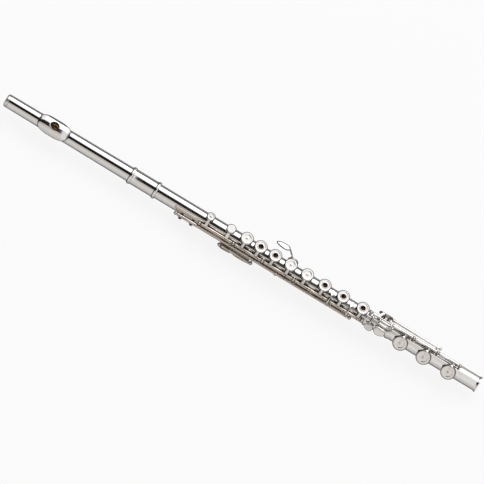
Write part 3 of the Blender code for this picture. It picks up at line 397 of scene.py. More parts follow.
# %% Node groups for wear
FLOAT, COLOUR, VECTOR = "NodeSocketFloat", "NodeSocketColor", "NodeSocketVector"
HAIRLINE_STRETCH = (40.0, 2600.0, 2600.0)


def new_group(name, inputs, outputs):
    """Empty shader node group, with the sockets that go in and out of it."""
    group = bpy.data.node_groups.new(name, "ShaderNodeTree")
    for way, sockets in (("INPUT", inputs), ("OUTPUT", outputs)):
        for label, kind in sockets.items():
            group.interface.new_socket(label, in_out=way, socket_type=kind)
    return group, group.nodes.new("NodeGroupInput").outputs, group.nodes.new("NodeGroupOutput").inputs


def tarnish_group():
    """Colour of silver with soft warm patches."""
    inputs = {"Place": VECTOR, "Silver": COLOUR, "Tarnish": COLOUR, "Amount": FLOAT, "Scale": FLOAT}
    group, given, made = new_group("silver_tarnish", inputs, {"Colour": COLOUR})
    patches = noise_node(group, given["Place"], given["Scale"], 4.0)
    spread = math_node(group, "SMOOTH_MIN", math_node(group, "MULTIPLY", patches, patches), 0.6)
    share = math_node(group, "MULTIPLY", spread, given["Amount"])
    group.links.new(mix_colour(group, share, given["Silver"], given["Tarnish"]), made["Colour"])
    return group


def hairline_group():
    """Roughness and height of fine wiping lines that run along the tube."""
    inputs = {"Place": VECTOR, "Polish": FLOAT, "Wear": FLOAT}
    group, given, made = new_group("wiped_hairlines", inputs, {"Roughness": FLOAT, "Height": FLOAT})
    stretch = add_node(group, "Mapping", Vector=given["Place"], Scale=HAIRLINE_STRETCH)
    lines = noise_node(group, stretch.outputs["Vector"], 1.0, 2.0)
    clouds = noise_node(group, given["Place"], 60.0, 3.0)
    wear = math_node(group, "MULTIPLY", math_node(group, "MULTIPLY", lines, clouds), given["Wear"])
    group.links.new(math_node(group, "ADD", wear, given["Polish"]), made["Roughness"])
    group.links.new(lines, made["Height"])
    return group


def bore_group():
    """Mask that is one inside the bore of the tube and zero outside."""
    inputs = {"Place": VECTOR, "Wall": FLOAT, "Taper": FLOAT}
    group, given, made = new_group("bore_mask", inputs, {"Mask": FLOAT})
    x, y, z = add_node(group, "SeparateXYZ", Vector=given["Place"]).outputs
    squares = [math_node(group, "MULTIPLY", part, part) for part in (y, z)]
    reach = math_node(group, "SQRT", math_node(group, "ADD", *squares), 0.0)
    wider = math_node(group, "MULTIPLY", x, given["Taper"])
    inside = math_node(group, "SUBTRACT", math_node(group, "ADD", given["Wall"], wider), reach)
    group.links.new(math_node(group, "GREATER_THAN", inside, 0.0), made["Mask"])
    return group


TARNISH, HAIRLINES, BORE = tarnish_group(), hairline_group(), bore_group()
print("node groups:", [group.name for group in bpy.data.node_groups])

# %% [markdown]
# ## Materials from the groups
# Tubes are the brightest and smoothest. Keywork is a little softer and more tarnished, from fingers, and a
# little warmer, as a painted reflection. Its rims are darker still, painted shade that draws each cup's
# outline, and the hinge tubes, ribs, posts and the trill and thumb keys are a darker, browner silver, painted
# shade and reflection over tarnish patches. The edges of the lip plate and of the G sharp touch and the
# corners of the barrel's rings are near black, painted shade. The steels are oiled grey, springs are blued,
# pads are felt under a thin yellow skin, and the stopper is cork.

# %% Metal finishes
# The coat tint and the Specular Tint below dim the metal, most at grazing angles: painted shade for dark
# outlines. The bore's brown is a painted reflection.
PAINTED_OUTLINE_FILM = (0.80, 0.80, 0.80)
BORE_PAINTED_REFLECTION, BORE_ROUGHNESS = (0.84, 0.64, 0.44), 0.25
PAINTED_OUTLINE_TINT = (0.02, 0.02, 0.02)
PATCH_SCALE = 120.0
HAIRLINE_BUMP = (0.02, 0.00002)


def group_node(tree, group, **values):
    """Outputs of a group placed in a material, with its inputs fed by name."""
    node = tree.nodes.new("ShaderNodeGroup")
    node.node_tree = group
    return set_inputs(tree, node, **values).outputs


def start_material(name):
    """Material with its node tree and its shader."""
    material = bpy.data.materials.new(name)
    material.use_nodes = True
    tree = material.node_tree
    return material, tree, tree.nodes["Principled BSDF"]


def resting_place(tree):
    """Place on the resting piece."""
    return add_node(tree, "TexCoord").outputs["Object"]


def patchy(tree, place, colour, patch, amount, scale=PATCH_SCALE):
    """Colour broken up by soft patches of another."""
    values = {"Silver": (*colour, 1), "Tarnish": (*patch, 1), "Amount": amount, "Scale": scale}
    return group_node(tree, TARNISH, Place=place, **values)["Colour"]


def metal(name, silver, tarnish, amount, polish, wear, bore_wall=0.0, bore_taper=0.0):
    """Polished metal with tarnish and hairlines, dimmed most at grazing angles as painted shade for outlines,
    and on a tube a duller bore painted brown as a painted reflection.
    """
    material, tree, shader = start_material(name)
    place = resting_place(tree)
    colour = patchy(tree, place, silver, tarnish, amount)
    lines = group_node(tree, HAIRLINES, Place=place, Polish=polish, Wear=wear)
    roughness = lines["Roughness"]
    if bore_wall:
        mask = group_node(tree, BORE, Place=place, Wall=bore_wall, Taper=bore_taper)["Mask"]
        # Inside the bore the colour turns brown: a painted reflection.
        colour = mix_colour(tree, mask, colour, patchy(tree, place, BORE_PAINTED_REFLECTION, tarnish, 1.0))
        roughness = math_node(tree, "ADD", roughness, math_node(tree, "MULTIPLY", mask, BORE_ROUGHNESS))
    normal = bump_node(tree, lines["Height"], *HAIRLINE_BUMP)
    # Specular Tint and coat tint darken grazing edges into outlines: painted shade.
    set_inputs(tree, shader, Base_Color=colour, Roughness=roughness, Normal=normal, Metallic=1.0,
               Specular_Tint=(*PAINTED_OUTLINE_TINT, 1), Coat_Weight=1.0, Coat_IOR=1.0, Coat_Tint=(*PAINTED_OUTLINE_FILM, 1))
    return material


TUBE_SILVER = metal("tube_silver", (0.92, 0.91, 0.90), (0.60, 0.52, 0.42), 0.15, 0.05, 0.10, 0.0097)
HEAD_SILVER = metal("head_silver", (0.92, 0.91, 0.90), (0.60, 0.52, 0.42), 0.12, 0.05, 0.08, 0.0090, 0.0052)
LIP_SILVER = metal("lip_silver", (0.91, 0.90, 0.89), (0.58, 0.50, 0.40), 0.20, 0.10, 0.14)
# The keywork's slightly warmer tone is a painted reflection; its extra tarnish and roughness are finger wear.
KEY_SILVER = metal("key_silver", (0.90, 0.88, 0.86), (0.50, 0.40, 0.30), 0.35, 0.10, 0.16)
# Darker, browner silver for hinge tubes, ribs, posts and the trill and thumb keys: painted shade and
# reflection over tarnish patches.
ROD_PAINTED_SHADE = metal("rod_painted_shade", (0.70, 0.64, 0.58), (0.34, 0.24, 0.15), 0.90, 0.18, 0.24)
# Warm brown on the silver riser: a painted reflection.
RISER_PAINTED_REFLECTION = metal("riser_painted_reflection", (0.90, 0.68, 0.46), (0.55, 0.36, 0.20), 0.80, 0.30, 0.20, 0.0130)
# Darker band on cup rims and touch wires: painted shade for outlines.
RIM_PAINTED_SHADE = metal("rim_painted_shade", (0.40, 0.39, 0.38), (0.24, 0.20, 0.17), 0.60, 0.25, 0.20)
STEEL = metal("oiled_steel", (0.42, 0.40, 0.38), (0.20, 0.14, 0.09), 0.50, 0.25, 0.25)
# Near-black silver for edge wires and corner lines: painted shade.
PAINTED_SHADE_SILVER = metal("painted_shade_silver", (0.11, 0.108, 0.105), (0.08, 0.07, 0.06), 0.60, 0.25, 0.20)
SPRING_STEEL = metal("blued_spring", (0.07, 0.09, 0.16), (0.10, 0.07, 0.06), 0.40, 0.25, 0.20)


# %% Soft finishes
def soft(name, colour, fleck, scale, height, amount=1.4, strength=0.3):
    """Felt, skin or cork: two tones broken up by grain, with a low bump."""
    material, tree, shader = start_material(name)
    place = resting_place(tree)
    tones = patchy(tree, place, colour, fleck, amount, scale)
    grain = noise_node(tree, place, scale * 3, 3.0)
    rough = math_node(tree, "ADD", math_node(tree, "MULTIPLY", grain, 0.25), 0.65)
    normal = bump_node(tree, grain, strength, height)
    set_inputs(tree, shader, Base_Color=tones, Roughness=rough, Normal=normal)
    return material


PAD_SKIN = soft("pad_skin", (0.80, 0.66, 0.42), (0.55, 0.38, 0.20), 900.0, 0.0001)
CORK = soft("stopper_cork", (0.50, 0.33, 0.19), (0.22, 0.13, 0.07), 700.0, 0.0003)
print("materials:", [material.name for material in bpy.data.materials])

# %% [markdown]
# ## From shapes to pieces
# A piece is one object: its shapes in one mesh, smooth except across real edges, with its finish. It
# rides on a body and hides the solid that it stands for. Keys are built closed, square on their holes,
# and then turned about their hinge to where they rest. The frame tells how far: an open key's joint runs
# from rest to closed.

# %% Making a piece
SHARP_EDGE = 33.0
made_pieces = []


def smooth(mesh):
    """Mesh shaded smooth except across real edges."""
    mesh.shade_smooth()
    mesh.set_sharp_from_angle(angle=math.radians(SHARP_EDGE))
    return mesh


def mesh_of(shapes, name, turn=Matrix()):
    """Mesh that holds all shapes, with their faces pointing out."""
    points, faces = [], []
    for shape_points, shape_faces in shapes:
        base = len(points)
        points += [turn @ p for p in shape_points]
        faces += [[base + i for i in face] for face in shape_faces]
    mesh = bpy.data.meshes.new(name)
    mesh.from_pydata(points, [], faces)
    bm = bmesh.new()
    bm.from_mesh(mesh)
    bmesh.ops.recalc_face_normals(bm, faces=bm.faces)
    bm.to_mesh(mesh)
    bm.free()
    return smooth(mesh)


def add_mesh(name, mesh, finish, body, *nodes):
    """Object for a mesh, riding on a body in place of its solids."""
    mesh.materials.clear()
    mesh.materials.append(finish)
    piece = bpy.data.objects.new(name, mesh)
    bpy.context.scene.collection.objects.link(piece)
    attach(piece, body)
    if nodes:
        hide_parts(*nodes)
    made_pieces.append(name)
    return piece


def add_piece(name, shapes, finish, body, *nodes, turn=Matrix()):
    """Piece made of shapes, turned to where it rests."""
    return add_mesh(name, mesh_of(shapes, name, turn), finish, body, *nodes)


def resting_turn(body):
    """Turn of a key from closed to where it rests."""
    joint = joints[body]
    closed = max(joint["range_deg"], key=abs)
    hinge = Matrix.Translation(joint["pos_m"])
    return hinge @ Matrix.Rotation(-math.radians(closed), 4, "X") @ hinge.inverted()


def cut_mesh(name, shapes, cutters):
    """Mesh of shapes joined, less the cutters."""
    objects = []
    for shape in shapes + cutters:
        tool = bpy.data.objects.new("tool", mesh_of([shape], "tool"))
        bpy.context.scene.collection.objects.link(tool)
        objects.append(tool)
    base = objects[0]
    for k, tool in enumerate(objects[1:], 1):
        modifier = base.modifiers.new("cut", "BOOLEAN")
        modifier.operation = "UNION" if k < len(shapes) else "DIFFERENCE"
        modifier.solver = "MANIFOLD"
        modifier.object = tool
    graph = bpy.context.evaluated_depsgraph_get()
    mesh = bpy.data.meshes.new_from_object(base.evaluated_get(graph))
    mesh.name = name
    for tool in objects:
        bpy.data.objects.remove(tool, do_unlink=True)
    return smooth(mesh)


def true_round(mesh, radii, slack=0.00002):
    """Normals of a cut tube set square to its axis again, so that reflections run straight."""
    normals = [Vector(n.vector) for n in mesh.corner_normals]
    for face in mesh.polygons:
        spots = [Vector((0, *mesh.vertices[v].co.yz)) for v in face.vertices]
        if any(all(abs(spot.length - r) < slack for spot in spots) for r in radii):
            for loop, spot in zip(face.loop_indices, spots):
                normals[loop] = spot.normalized() * math.copysign(1, spot.dot(face.normal))
    mesh.normals_split_custom_set(normals)


print("piece helpers ready")

# %% [markdown]
# ## Head joint
# The head is a tube that tapers to the crown. The lip plate is a saddle of sheet silver on a short oval
# riser, and the hole in it is where the player blows. We loft the plate from the hole out to its rim, so
# its grid lines follow both edges and the surface stays smooth between them. A near-black wire round its
# rim is painted shade that draws the plate's outline.

# %% Crown, tube and stopper
TUBE_WALL = 0.0004
SOCKET_INNER = BODY_OUTER + GAP
HEAD_TENON = SOCKET_INNER - 0.0004
HEAD_CROWN = HEAD_TENON - 0.00095
CROWN_END = -0.072
CROWN_SKIRT = 0.0050
BARREL_START = 0.115
BARREL_END = 0.156
BODY_START = BARREL_END - 0.006
CROWN_PROFILE = [(0, -0.0030), (0.0003, -0.0018), (0.0010, -0.0007), (0.0024, 0), (0.0030, 0),
                 (0.0032, -0.0003), (0.0036, -0.0003), (0.0038, 0), (CROWN_SKIRT, 0)]
PLUG_RADIUS, PLUG_BORE, PLUG_END = 0.0045, 0.0028, CROWN_END + 0.015
EMBOUCHURE = (0.0061, 0.00525)
EMBOUCHURE_FRAME = radial_frame(0, 12.0)
HOLE_ROOT, HOLE_PAST = 0.004, 0.015


def tube(profile, **values):
    """Profile of (station, radius) points turned about the axis of the flute."""
    return turned(profile, rod_frame(), TUBE_SIDES, **values)


def head_outer(station):
    """Outer radius of the tapered head tube."""
    start = CROWN_END + CROWN_SKIRT
    share = min(1.0, (station - start) / (BARREL_START - start))
    return HEAD_CROWN + (HEAD_TENON - HEAD_CROWN) * share


SKIRT_END = CROWN_END + CROWN_SKIRT
HEAD_START = SKIRT_END + GAP
crown_edge = head_outer(HEAD_START)
crown = [(CROWN_END, 0)] + [(CROWN_END + run, crown_edge + rise) for run, rise in CROWN_PROFILE]
crown += [(SKIRT_END, PLUG_RADIUS), (PLUG_END, PLUG_RADIUS), (PLUG_END, PLUG_BORE), (SKIRT_END, PLUG_BORE)]
add_piece("crown_cap", [tube(crown + [(SKIRT_END, 0)])], LIP_SILVER, "crown", "crown")
HEAD_END = BODY_START - 2 * GAP
profile = [(HEAD_START, crown_edge - TUBE_WALL), (HEAD_START, crown_edge), (BARREL_START, HEAD_TENON),
           (HEAD_END, HEAD_TENON), (HEAD_END, HEAD_TENON - TUBE_WALL), (BARREL_START, HEAD_TENON - TUBE_WALL)]
oval = EMBOUCHURE_FRAME @ Matrix.Diagonal((*EMBOUCHURE, 1, 1))
blow_hole = turned(plug(HOLE_ROOT, HOLE_PAST, 1), oval, CUP_SIDES, soften=0)
head = cut_mesh("head_pipe", [tube(profile, loop=True)], [blow_hole])
add_mesh("head_pipe", head, HEAD_SILVER, "head", "head_tube")
for name, finish in (("stopper_screw", STEEL), ("stopper_cork", CORK)):
    frame["nodes"][name].data.materials.clear()
    frame["nodes"][name].data.materials.append(finish)
print("head joint from", HEAD_START, "to", HEAD_END)

# %% Lip plate and riser
LIP_HALF = 0.02275
LIP_CHIN_ARC = 0.0185
LIP_FAR_ARC = 0.0108
LIP_CURVE = 0.0132
LIP_END_FALL = 6
LIP_SQUARENESS = 2.6
LIP_TOP = head_outer(0) + 0.0050
LIP_THICKNESS = 0.0008
LIP_SEGMENTS = 120
LIP_RINGS = 18
LIP_EDGE_INSET = 0.97
HOLE_EDGE = ((0.0, 0.5), (0.15, 0.12))
RIM_EDGE = ((0.75, 0.06), (1.0, 0.5))


def lip_point(x, arc, depth=0.0):
    """Point of the lip plate, at an arc length across it and a depth under its surface."""
    fall = LIP_TOP - LIP_THICKNESS - GAP - head_outer(LIP_HALF)
    drop = fall * abs(x / LIP_HALF) ** LIP_END_FALL
    bend, reach = arc / LIP_CURVE, LIP_CURVE - depth
    return EMBOUCHURE_FRAME @ Vector((x, reach * math.sin(bend),
                                      LIP_TOP - drop - LIP_CURVE + reach * math.cos(bend)))


def lip_rim(turn):
    """Point (x, arc) on the outline of the lip plate."""
    along, aside = squared(turn, 2 / LIP_SQUARENESS)
    reach = LIP_FAR_ARC if turn < math.pi else LIP_CHIN_ARC
    return Vector((LIP_HALF * along, reach * aside))


columns = []
for turn in circle(LIP_SEGMENTS):
    hole = Vector((EMBOUCHURE[0] * math.cos(turn),
                   LIP_CURVE * math.asin(EMBOUCHURE[1] * math.sin(turn) / LIP_CURVE)))
    rim = lip_rim(turn)
    section = [hole.lerp(rim, r / LIP_RINGS) for r in range(LIP_RINGS + 1)]
    top = [lip_point(*section[0].lerp(section[1], run), LIP_THICKNESS * depth) for run, depth in HOLE_EDGE]
    top += [lip_point(*spot) for spot in section[1:-1]]
    top += [lip_point(*section[-2].lerp(rim, run), LIP_THICKNESS * depth) for run, depth in RIM_EDGE]
    under = [lip_point(*spot, LIP_THICKNESS) for spot in reversed(section)]
    columns.append(top + under)
add_piece("lip_saddle", [loft(columns, closed=True)], LIP_SILVER, "head", "lip_plate")

loop, ups = [], []
for turn in circle(LIP_SEGMENTS, 0.5):
    rim = lip_rim(turn) * LIP_EDGE_INSET
    loop.append(lip_point(*rim, LIP_THICKNESS / 2))
    ups.append((lip_point(*rim) - lip_point(*rim, LIP_THICKNESS)).normalized())
# Near-black wire round the lip plate: painted shade for its outline.
add_piece("lip_outline_shade", [edge_wire(loop, ups, EDGE_WIRE)], PAINTED_SHADE_SILVER, "head")

RISER_WALL = 0.0010
columns = []
for turn in circle(LIP_SEGMENTS):
    column = []
    for wall, at_top in ((0, True), (RISER_WALL, True), (RISER_WALL, False), (0, False)):
        x = (EMBOUCHURE[0] + wall) * math.cos(turn)
        y = (EMBOUCHURE[1] + wall) * math.sin(turn)
        top = EMBOUCHURE_FRAME.inverted() @ lip_point(x, LIP_CURVE * math.asin(y / LIP_CURVE))
        foot = math.sqrt((head_outer(0) + 2 * GAP) ** 2 - y ** 2)
        column.append(EMBOUCHURE_FRAME @ Vector((x, y, top.z - LIP_THICKNESS - 2 * GAP if at_top else foot)))
    columns.append(column)
# The riser's brown finish is a painted reflection.
add_piece("blow_riser", [loft(columns, closed=True)], RISER_PAINTED_REFLECTION, "head", "embouchure_riser")
print("lip plate", 2 * LIP_HALF, "m long")

# %% [markdown]
# ## Body tube and barrel
# Tone holes on a good flute have their rims soldered on, each a short chimney whose top is square to its
# own axis. Joining chimneys to the tube and then cutting the bore and the holes is the work of Booleans.
# Cutting leaves odd-shaped faces on the tube, and on a mirror their averaged normals would show as
# dents, so the tube's normals are set square to its axis afterwards. The barrel over the head's end has
# two rounded rings, each with a near-black line in its corner: a painted shadow.

# %% Tubes with tone holes
CHIMNEY_TOP = BODY_OUTER + 0.0026
CHIMNEY_WALL = 0.0005
BODY_HOLE, SIDE_HOLE, SMALL_HOLE, FOOT_HOLE = 0.0067, 0.0060, 0.0036, 0.0077
THUMB_ANGLE, G_SHARP_ANGLE, TRILL_CUP_ANGLE = 146.0, -98.0, 165.0
FOOT_CUP_ANGLE, D_SHARP_ANGLE = 54.0, -64.0
FOOT_START = 0.4685
BODY_END = FOOT_START + 0.0125
FOOT_END = 0.637
BORE_RADIUS = BODY_OUTER - TUBE_WALL
BORE_ROOT = 0.002
CUT_PAST = 0.01
CHIMNEY_SIDES = 48


def chimneys(holes):
    """Rims and cutters of tone holes."""
    rims, cutters = [], []
    for station, angle, hole in holes:
        place = radial_frame(station, angle)
        rim = hole + CHIMNEY_WALL
        rims.append(turned(plug(HOLE_ROOT, CHIMNEY_TOP, rim), place, CHIMNEY_SIDES))
        cutters.append(turned(plug(BORE_ROOT, HOLE_PAST, hole), place, CHIMNEY_SIDES, soften=0))
    return rims, cutters


def bore_cutter(start, end, radius):
    """Cylinder that cuts a bore out of a tube."""
    return tube(plug(start, end, radius), soften=0)


body_holes = [(station, 0.0, BODY_HOLE) for station in (B_FLAT, A, G, LOWER_G, F_SHARP, F, E, D)]
body_holes += [(C_SHARP, 0.0, SMALL_HOLE), (THUMB_B, THUMB_ANGLE, SIDE_HOLE)]
body_holes.append((LOWER_G, G_SHARP_ANGLE, SIDE_HOLE))
body_holes += [(station, TRILL_CUP_ANGLE, SMALL_HOLE) for station in (D_TRILL, D_SHARP_TRILL)]
rims, cutters = chimneys(body_holes)
bore = bore_cutter(BODY_START - CUT_PAST, BODY_END + CUT_PAST, BORE_RADIUS)
body = cut_mesh("body_pipe", [tube(plug(BODY_START, BODY_END, BODY_OUTER))] + rims, [bore] + cutters)
true_round(body, (BODY_OUTER, BORE_RADIUS))
add_mesh("body_pipe", body, TUBE_SILVER, "body", "body_tube")

SOCKET_OUTER = SOCKET_INNER + TUBE_WALL
BEAD, BEAD_RISE, BEAD_STEPS = 0.0042, 0.0012, 16
# Width of the near-black line painted as shadow in each ring's corner.
CORNER_SHADE_LINE = 0.0007
barrel, lines = [(BARREL_START, SOCKET_INNER)], []
for start in (BARREL_START, BARREL_END - BEAD):
    for k in range(BEAD_STEPS + 1):
        turn = math.pi * k / BEAD_STEPS
        rise = BEAD_RISE * math.sin(turn)
        barrel.append((start + BEAD * (1 - math.cos(turn)) / 2, SOCKET_OUTER + rise))
    line = [(start - CORNER_SHADE_LINE, SOCKET_INNER), (start - CORNER_SHADE_LINE, SOCKET_OUTER + CORNER_SHADE_LINE / 2),
            (start + CORNER_SHADE_LINE, SOCKET_OUTER + CORNER_SHADE_LINE), (start + CORNER_SHADE_LINE, SOCKET_INNER)]
    lines.append(tube(line, loop=True, soften=0.0001))
barrel.append((BARREL_END, SOCKET_INNER))
add_piece("barrel_sleeve", [tube(barrel, loop=True)], TUBE_SILVER, "body", "barrel")
# Corner lines of the rings: painted shadow.
add_piece("barrel_shade_lines", lines, PAINTED_SHADE_SILVER, "body")
print("body tube faces:", len(body.polygons))

# %% [markdown]
# ## Cups, pads and hinge tubes
# A key is a hinge tube on a steel, an arm, and a cup that holds a felt pad over its hole. A finger hole
# has a raised grommet round it, a plain cup has a shallow ring and a small nipple in the middle. A darker
# band over the shoulder and side of each cup is painted shade that draws the cup's outline. The pad is a
# ring or a disc of felt whose skin bulges below the cup, so it is turned with a soft belly.

# %% Cups and pads
PAD_BOTTOM = CHIMNEY_TOP + GAP
PAD_TOP = PAD_BOTTOM + 0.0025
CUP_CEILING = PAD_TOP + GAP
CUP_TOP = CUP_CEILING + 0.0011
SKIRT_BOTTOM = PAD_BOTTOM + 0.0008
BODY_CUP, SIDE_CUP, SMALL_CUP, FOOT_CUP = 0.0089, 0.0075, 0.0060, 0.0101
CUP_WALL = 0.0006
RIM_SKIN = 0.0001
FINGER_HOLE = 0.0033
SLEEVE = FINGER_HOLE + 0.0007
ARM_WIDTH, ARM_TIP, ARM_DEPTH = 0.0046, 0.0036, 0.0016
CUP_MIDDLE = CUP_TOP - ARM_DEPTH / 2 - GAP
ARM_STEPS = (0.0011, -0.0004)
KEY_TUBE, STEEL_RADIUS, BALL = 0.0022, 0.0011, 0.0026


def shoulder(radius, bottom):
    """Profile from the top of a cup or a round plate down its side."""
    return [(CUP_TOP, radius - 0.0012), (CUP_TOP - 0.0005, radius - 0.0003), (CUP_TOP - 0.0010, radius),
            (bottom, radius)]


def rim_band(station, angle, radius, bottom=SKIRT_BOTTOM):
    """Skin over the shoulder and the side of a cup, darker as painted shade."""
    outside = [(CUP_TOP + RIM_SKIN / 2, radius - 0.0013)] + shoulder(radius, bottom)[1:]
    inside = [(height, reach - 2 * RIM_SKIN) for height, reach in reversed(outside)]
    return turned(outside + inside, radial_frame(station, angle), CUP_SIDES, loop=True, soften=RIM_SKIN / 3)


def cup(station, angle, radius, finger_hole=False):
    """Cup over a tone hole, in its closed place."""
    inner, bottom = radius - CUP_WALL, SKIRT_BOTTOM + RIM_SKIN
    rim = shoulder(radius - RIM_SKIN, bottom) + [(bottom, inner), (CUP_CEILING, inner)]
    if finger_hole:
        profile = [(CUP_TOP, FINGER_HOLE), (CUP_TOP + 0.0003, FINGER_HOLE + 0.0002),
                   (CUP_TOP + 0.0003, SLEEVE), (CUP_TOP - 0.0002, SLEEVE + 0.0004),
                   (CUP_TOP - 0.0002, radius * 0.66), (CUP_TOP, radius * 0.70)]
        profile += rim + [(CUP_CEILING, SLEEVE), (SKIRT_BOTTOM, SLEEVE), (SKIRT_BOTTOM, FINGER_HOLE)]
    else:
        profile = [(CUP_TOP + 0.0005, 0), (CUP_TOP + 0.00045, 0.0006), (CUP_TOP, 0.0011),
                   (CUP_TOP - 0.0003, 0.0016), (CUP_TOP - 0.0003, radius * 0.54), (CUP_TOP, radius * 0.62)]
        profile += rim + [(CUP_CEILING, 0)]
    return turned(profile, radial_frame(station, angle), CUP_SIDES, loop=finger_hole)


def add_pad(node, body, turn, station, angle, radius, finger_hole=False):
    """Felt pad in a cup, with a bulging skin."""
    outer = radius - CUP_WALL - GAP
    inner = SLEEVE + GAP if finger_hole else 0
    belly = [(PAD_BOTTOM + 0.0004, inner), (PAD_BOTTOM, inner + 0.0008), (PAD_BOTTOM, outer - 0.0009),
             (PAD_BOTTOM + 0.0003, outer - 0.0003), (PAD_BOTTOM + 0.0009, outer), (PAD_TOP, outer),
             (PAD_TOP, inner)]
    if not finger_hole:
        belly[0] = (PAD_BOTTOM, 0)
    shape = turned(belly, radial_frame(station, angle), CUP_SIDES, loop=finger_hole, soften=0.0003)
    pad = add_piece(node + "_felt", [shape], PAD_SKIN, body, node, turn=turn)


def hinge_tube(start, end, centre, bored=True):
    """Key tube between two stations, with a turned collar at each end."""
    inner = STEEL_RADIUS + GAP if bored else 0.0001
    lip, width = 0.0002, 0.0009
    profile = [(start, inner), (start, KEY_TUBE + lip), (start + width, KEY_TUBE + lip),
               (start + width, KEY_TUBE), (end - width, KEY_TUBE), (end - width, KEY_TUBE + lip),
               (end, KEY_TUBE + lip), (end, inner)]
    return turned(profile, rod_frame(centre), ROD_SIDES, loop=True, soften=0.00012)


def arm_ends(place, radius, towards):
    """Elbow and tip of an arm at the near rim of a cup; towards is -1 or 1 along the cup's Y."""
    return [place @ Vector((0, towards * (radius + step), CUP_MIDDLE)) for step in ARM_STEPS]


def cup_arm(station, centre, angle, radius, towards):
    """Arm from a hinge to the near rim of a cup."""
    ends = arm_ends(radial_frame(station, angle), radius, towards)
    return arm([(station, *centre), *ends], [ARM_WIDTH, ARM_TIP, ARM_TIP], ARM_DEPTH)


PIN = [(KEY_TUBE - 0.0004, 0), (KEY_TUBE - 0.0004, 0.0006), (KEY_TUBE + 0.00015, 0.0006),
       (KEY_TUBE + 0.0003, 0.0004), (KEY_TUBE + 0.00035, 0)]
PIN_ANGLE = 40.0


def pins(stations, centre):
    """Heads of the pins that hold a key tube to its steel."""
    return [turned(PIN, plate_frame(station, centre, PIN_ANGLE), 24) for station in stations]


def add_key(body, shapes, tubes=(), rims=(), pinned=(), turn=Matrix(), finish=KEY_SILVER):
    """Key of one body, in place of its solid, with its tubes, rims and pins as pieces of their own."""
    add_piece(body + "_lever", shapes, finish, body, body + "_key", turn=turn)
    # Key tubes and rims take darker finishes: painted shade.
    extras = (("_tube", tubes, ROD_PAINTED_SHADE), ("_rims", rims, RIM_PAINTED_SHADE), ("_pins", pinned, SPRING_STEEL))
    for ending, extra, look in extras:
        if extra:
            add_piece(body + ending, extra, look, body, turn=turn)


print("cup top at", round(CUP_TOP, 4), "m over the axis")

# %% [markdown]
# ## Ribs and posts
# The hinges stand on posts, and the posts on ribs soldered along the tube. A post is a turned stem with
# a flared foot and a ball that the steel goes through.

# %% Ribs, posts and steels
HINGE_LEAD = 59.0
RIB_MIDDLE = RIB_INNER + RIB_THICKNESS / 2
MAIN_POSTS = [C_SHARP - SMALL_CUP - BALL, B_FLAT - BODY_CUP - BALL - 0.0005, (A + G) / 2,
              (LOWER_G + F_SHARP) / 2, (F + E) / 2, D + BODY_CUP - 0.0020]
MAIN_HINGE, TRILL_HINGE, THUMB_HINGE = hinge_of("c_sharp"), hinge_of("d_trill"), hinge_of("thumb_b")
G_SHARP_HINGE, FOOT_HINGE = hinge_of("g_sharp"), hinge_of("d_sharp")
TRILL_START, TRILL_GUIDE = 0.190, 0.340
TRILL_END = (E + D) / 2 + BALL + 2 * GAP + 0.0026
THUMB_LEAD = 0.0070
THUMB_X = (THUMB_B - THUMB_LEAD, THUMB_B - THUMB_LEAD + 0.0465)
THUMB_RIB_ANGLE = 95.5
G_SHARP_REACH = 0.012
G_SHARP_X = (LOWER_G - G_SHARP_REACH, LOWER_G + G_SHARP_REACH)
POST_STEM, SIDE_STEM = 0.0013, 0.0010
WIDE_RIB, FOOT_RIB, SIDE_RIB = 0.0048, 0.0040, 0.0024


def post(station, centre, angle, stem=POST_STEM, radius=BALL, foot_reach=RIB_MIDDLE, bore=0.0):
    """Post that rises from a rib to a hinge and ends in a ball."""
    foot = Vector((station, *across(angle, foot_reach)))
    rise = Vector((station, *centre)) - foot
    place = Matrix.Translation(foot) @ rise.to_track_quat("Z", "Y").to_matrix().to_4x4()
    top = rise.length - bore
    flare = [(0, 0), (0, stem * 1.7), (0.0008, stem * 1.6), (0.0016, stem), (top, stem * 0.9), (top, 0)]
    half = min(radius * 0.8, math.sqrt(radius ** 2 - (bore + GAP / 2) ** 2))
    steps = [-half + 2 * half * k / 10 for k in range(11)]
    dome = [(station + s, math.sqrt(radius ** 2 - s ** 2)) for s in steps]
    dome = [(station - half, bore)] + dome + [(station + half, bore)]
    ball = turned(dome, rod_frame(centre), ROD_SIDES, loop=bool(bore), soften=0.0001)
    return [turned(flare, place, 24, soften=0.0003), ball]


def bored_post(*args, **values):
    """Post whose ball has the hole for its steel."""
    return post(*args, bore=STEEL_RADIUS + GAP, **values)


def add_rib(name, body, node, ends, angle, width, centre, stations, stem=POST_STEM, extra=()):
    """Rib with its row of bored posts."""
    shapes = [strip(*ends, angle, width)]
    for station in stations:
        shapes += bored_post(station, centre, angle, stem=stem)
    add_piece(name, shapes + list(extra), ROD_PAINTED_SHADE, body, node)


def around(stations):
    """Ends of a rib or a steel that reaches past its first and last post."""
    return stations[0] - BALL, stations[-1] + BALL


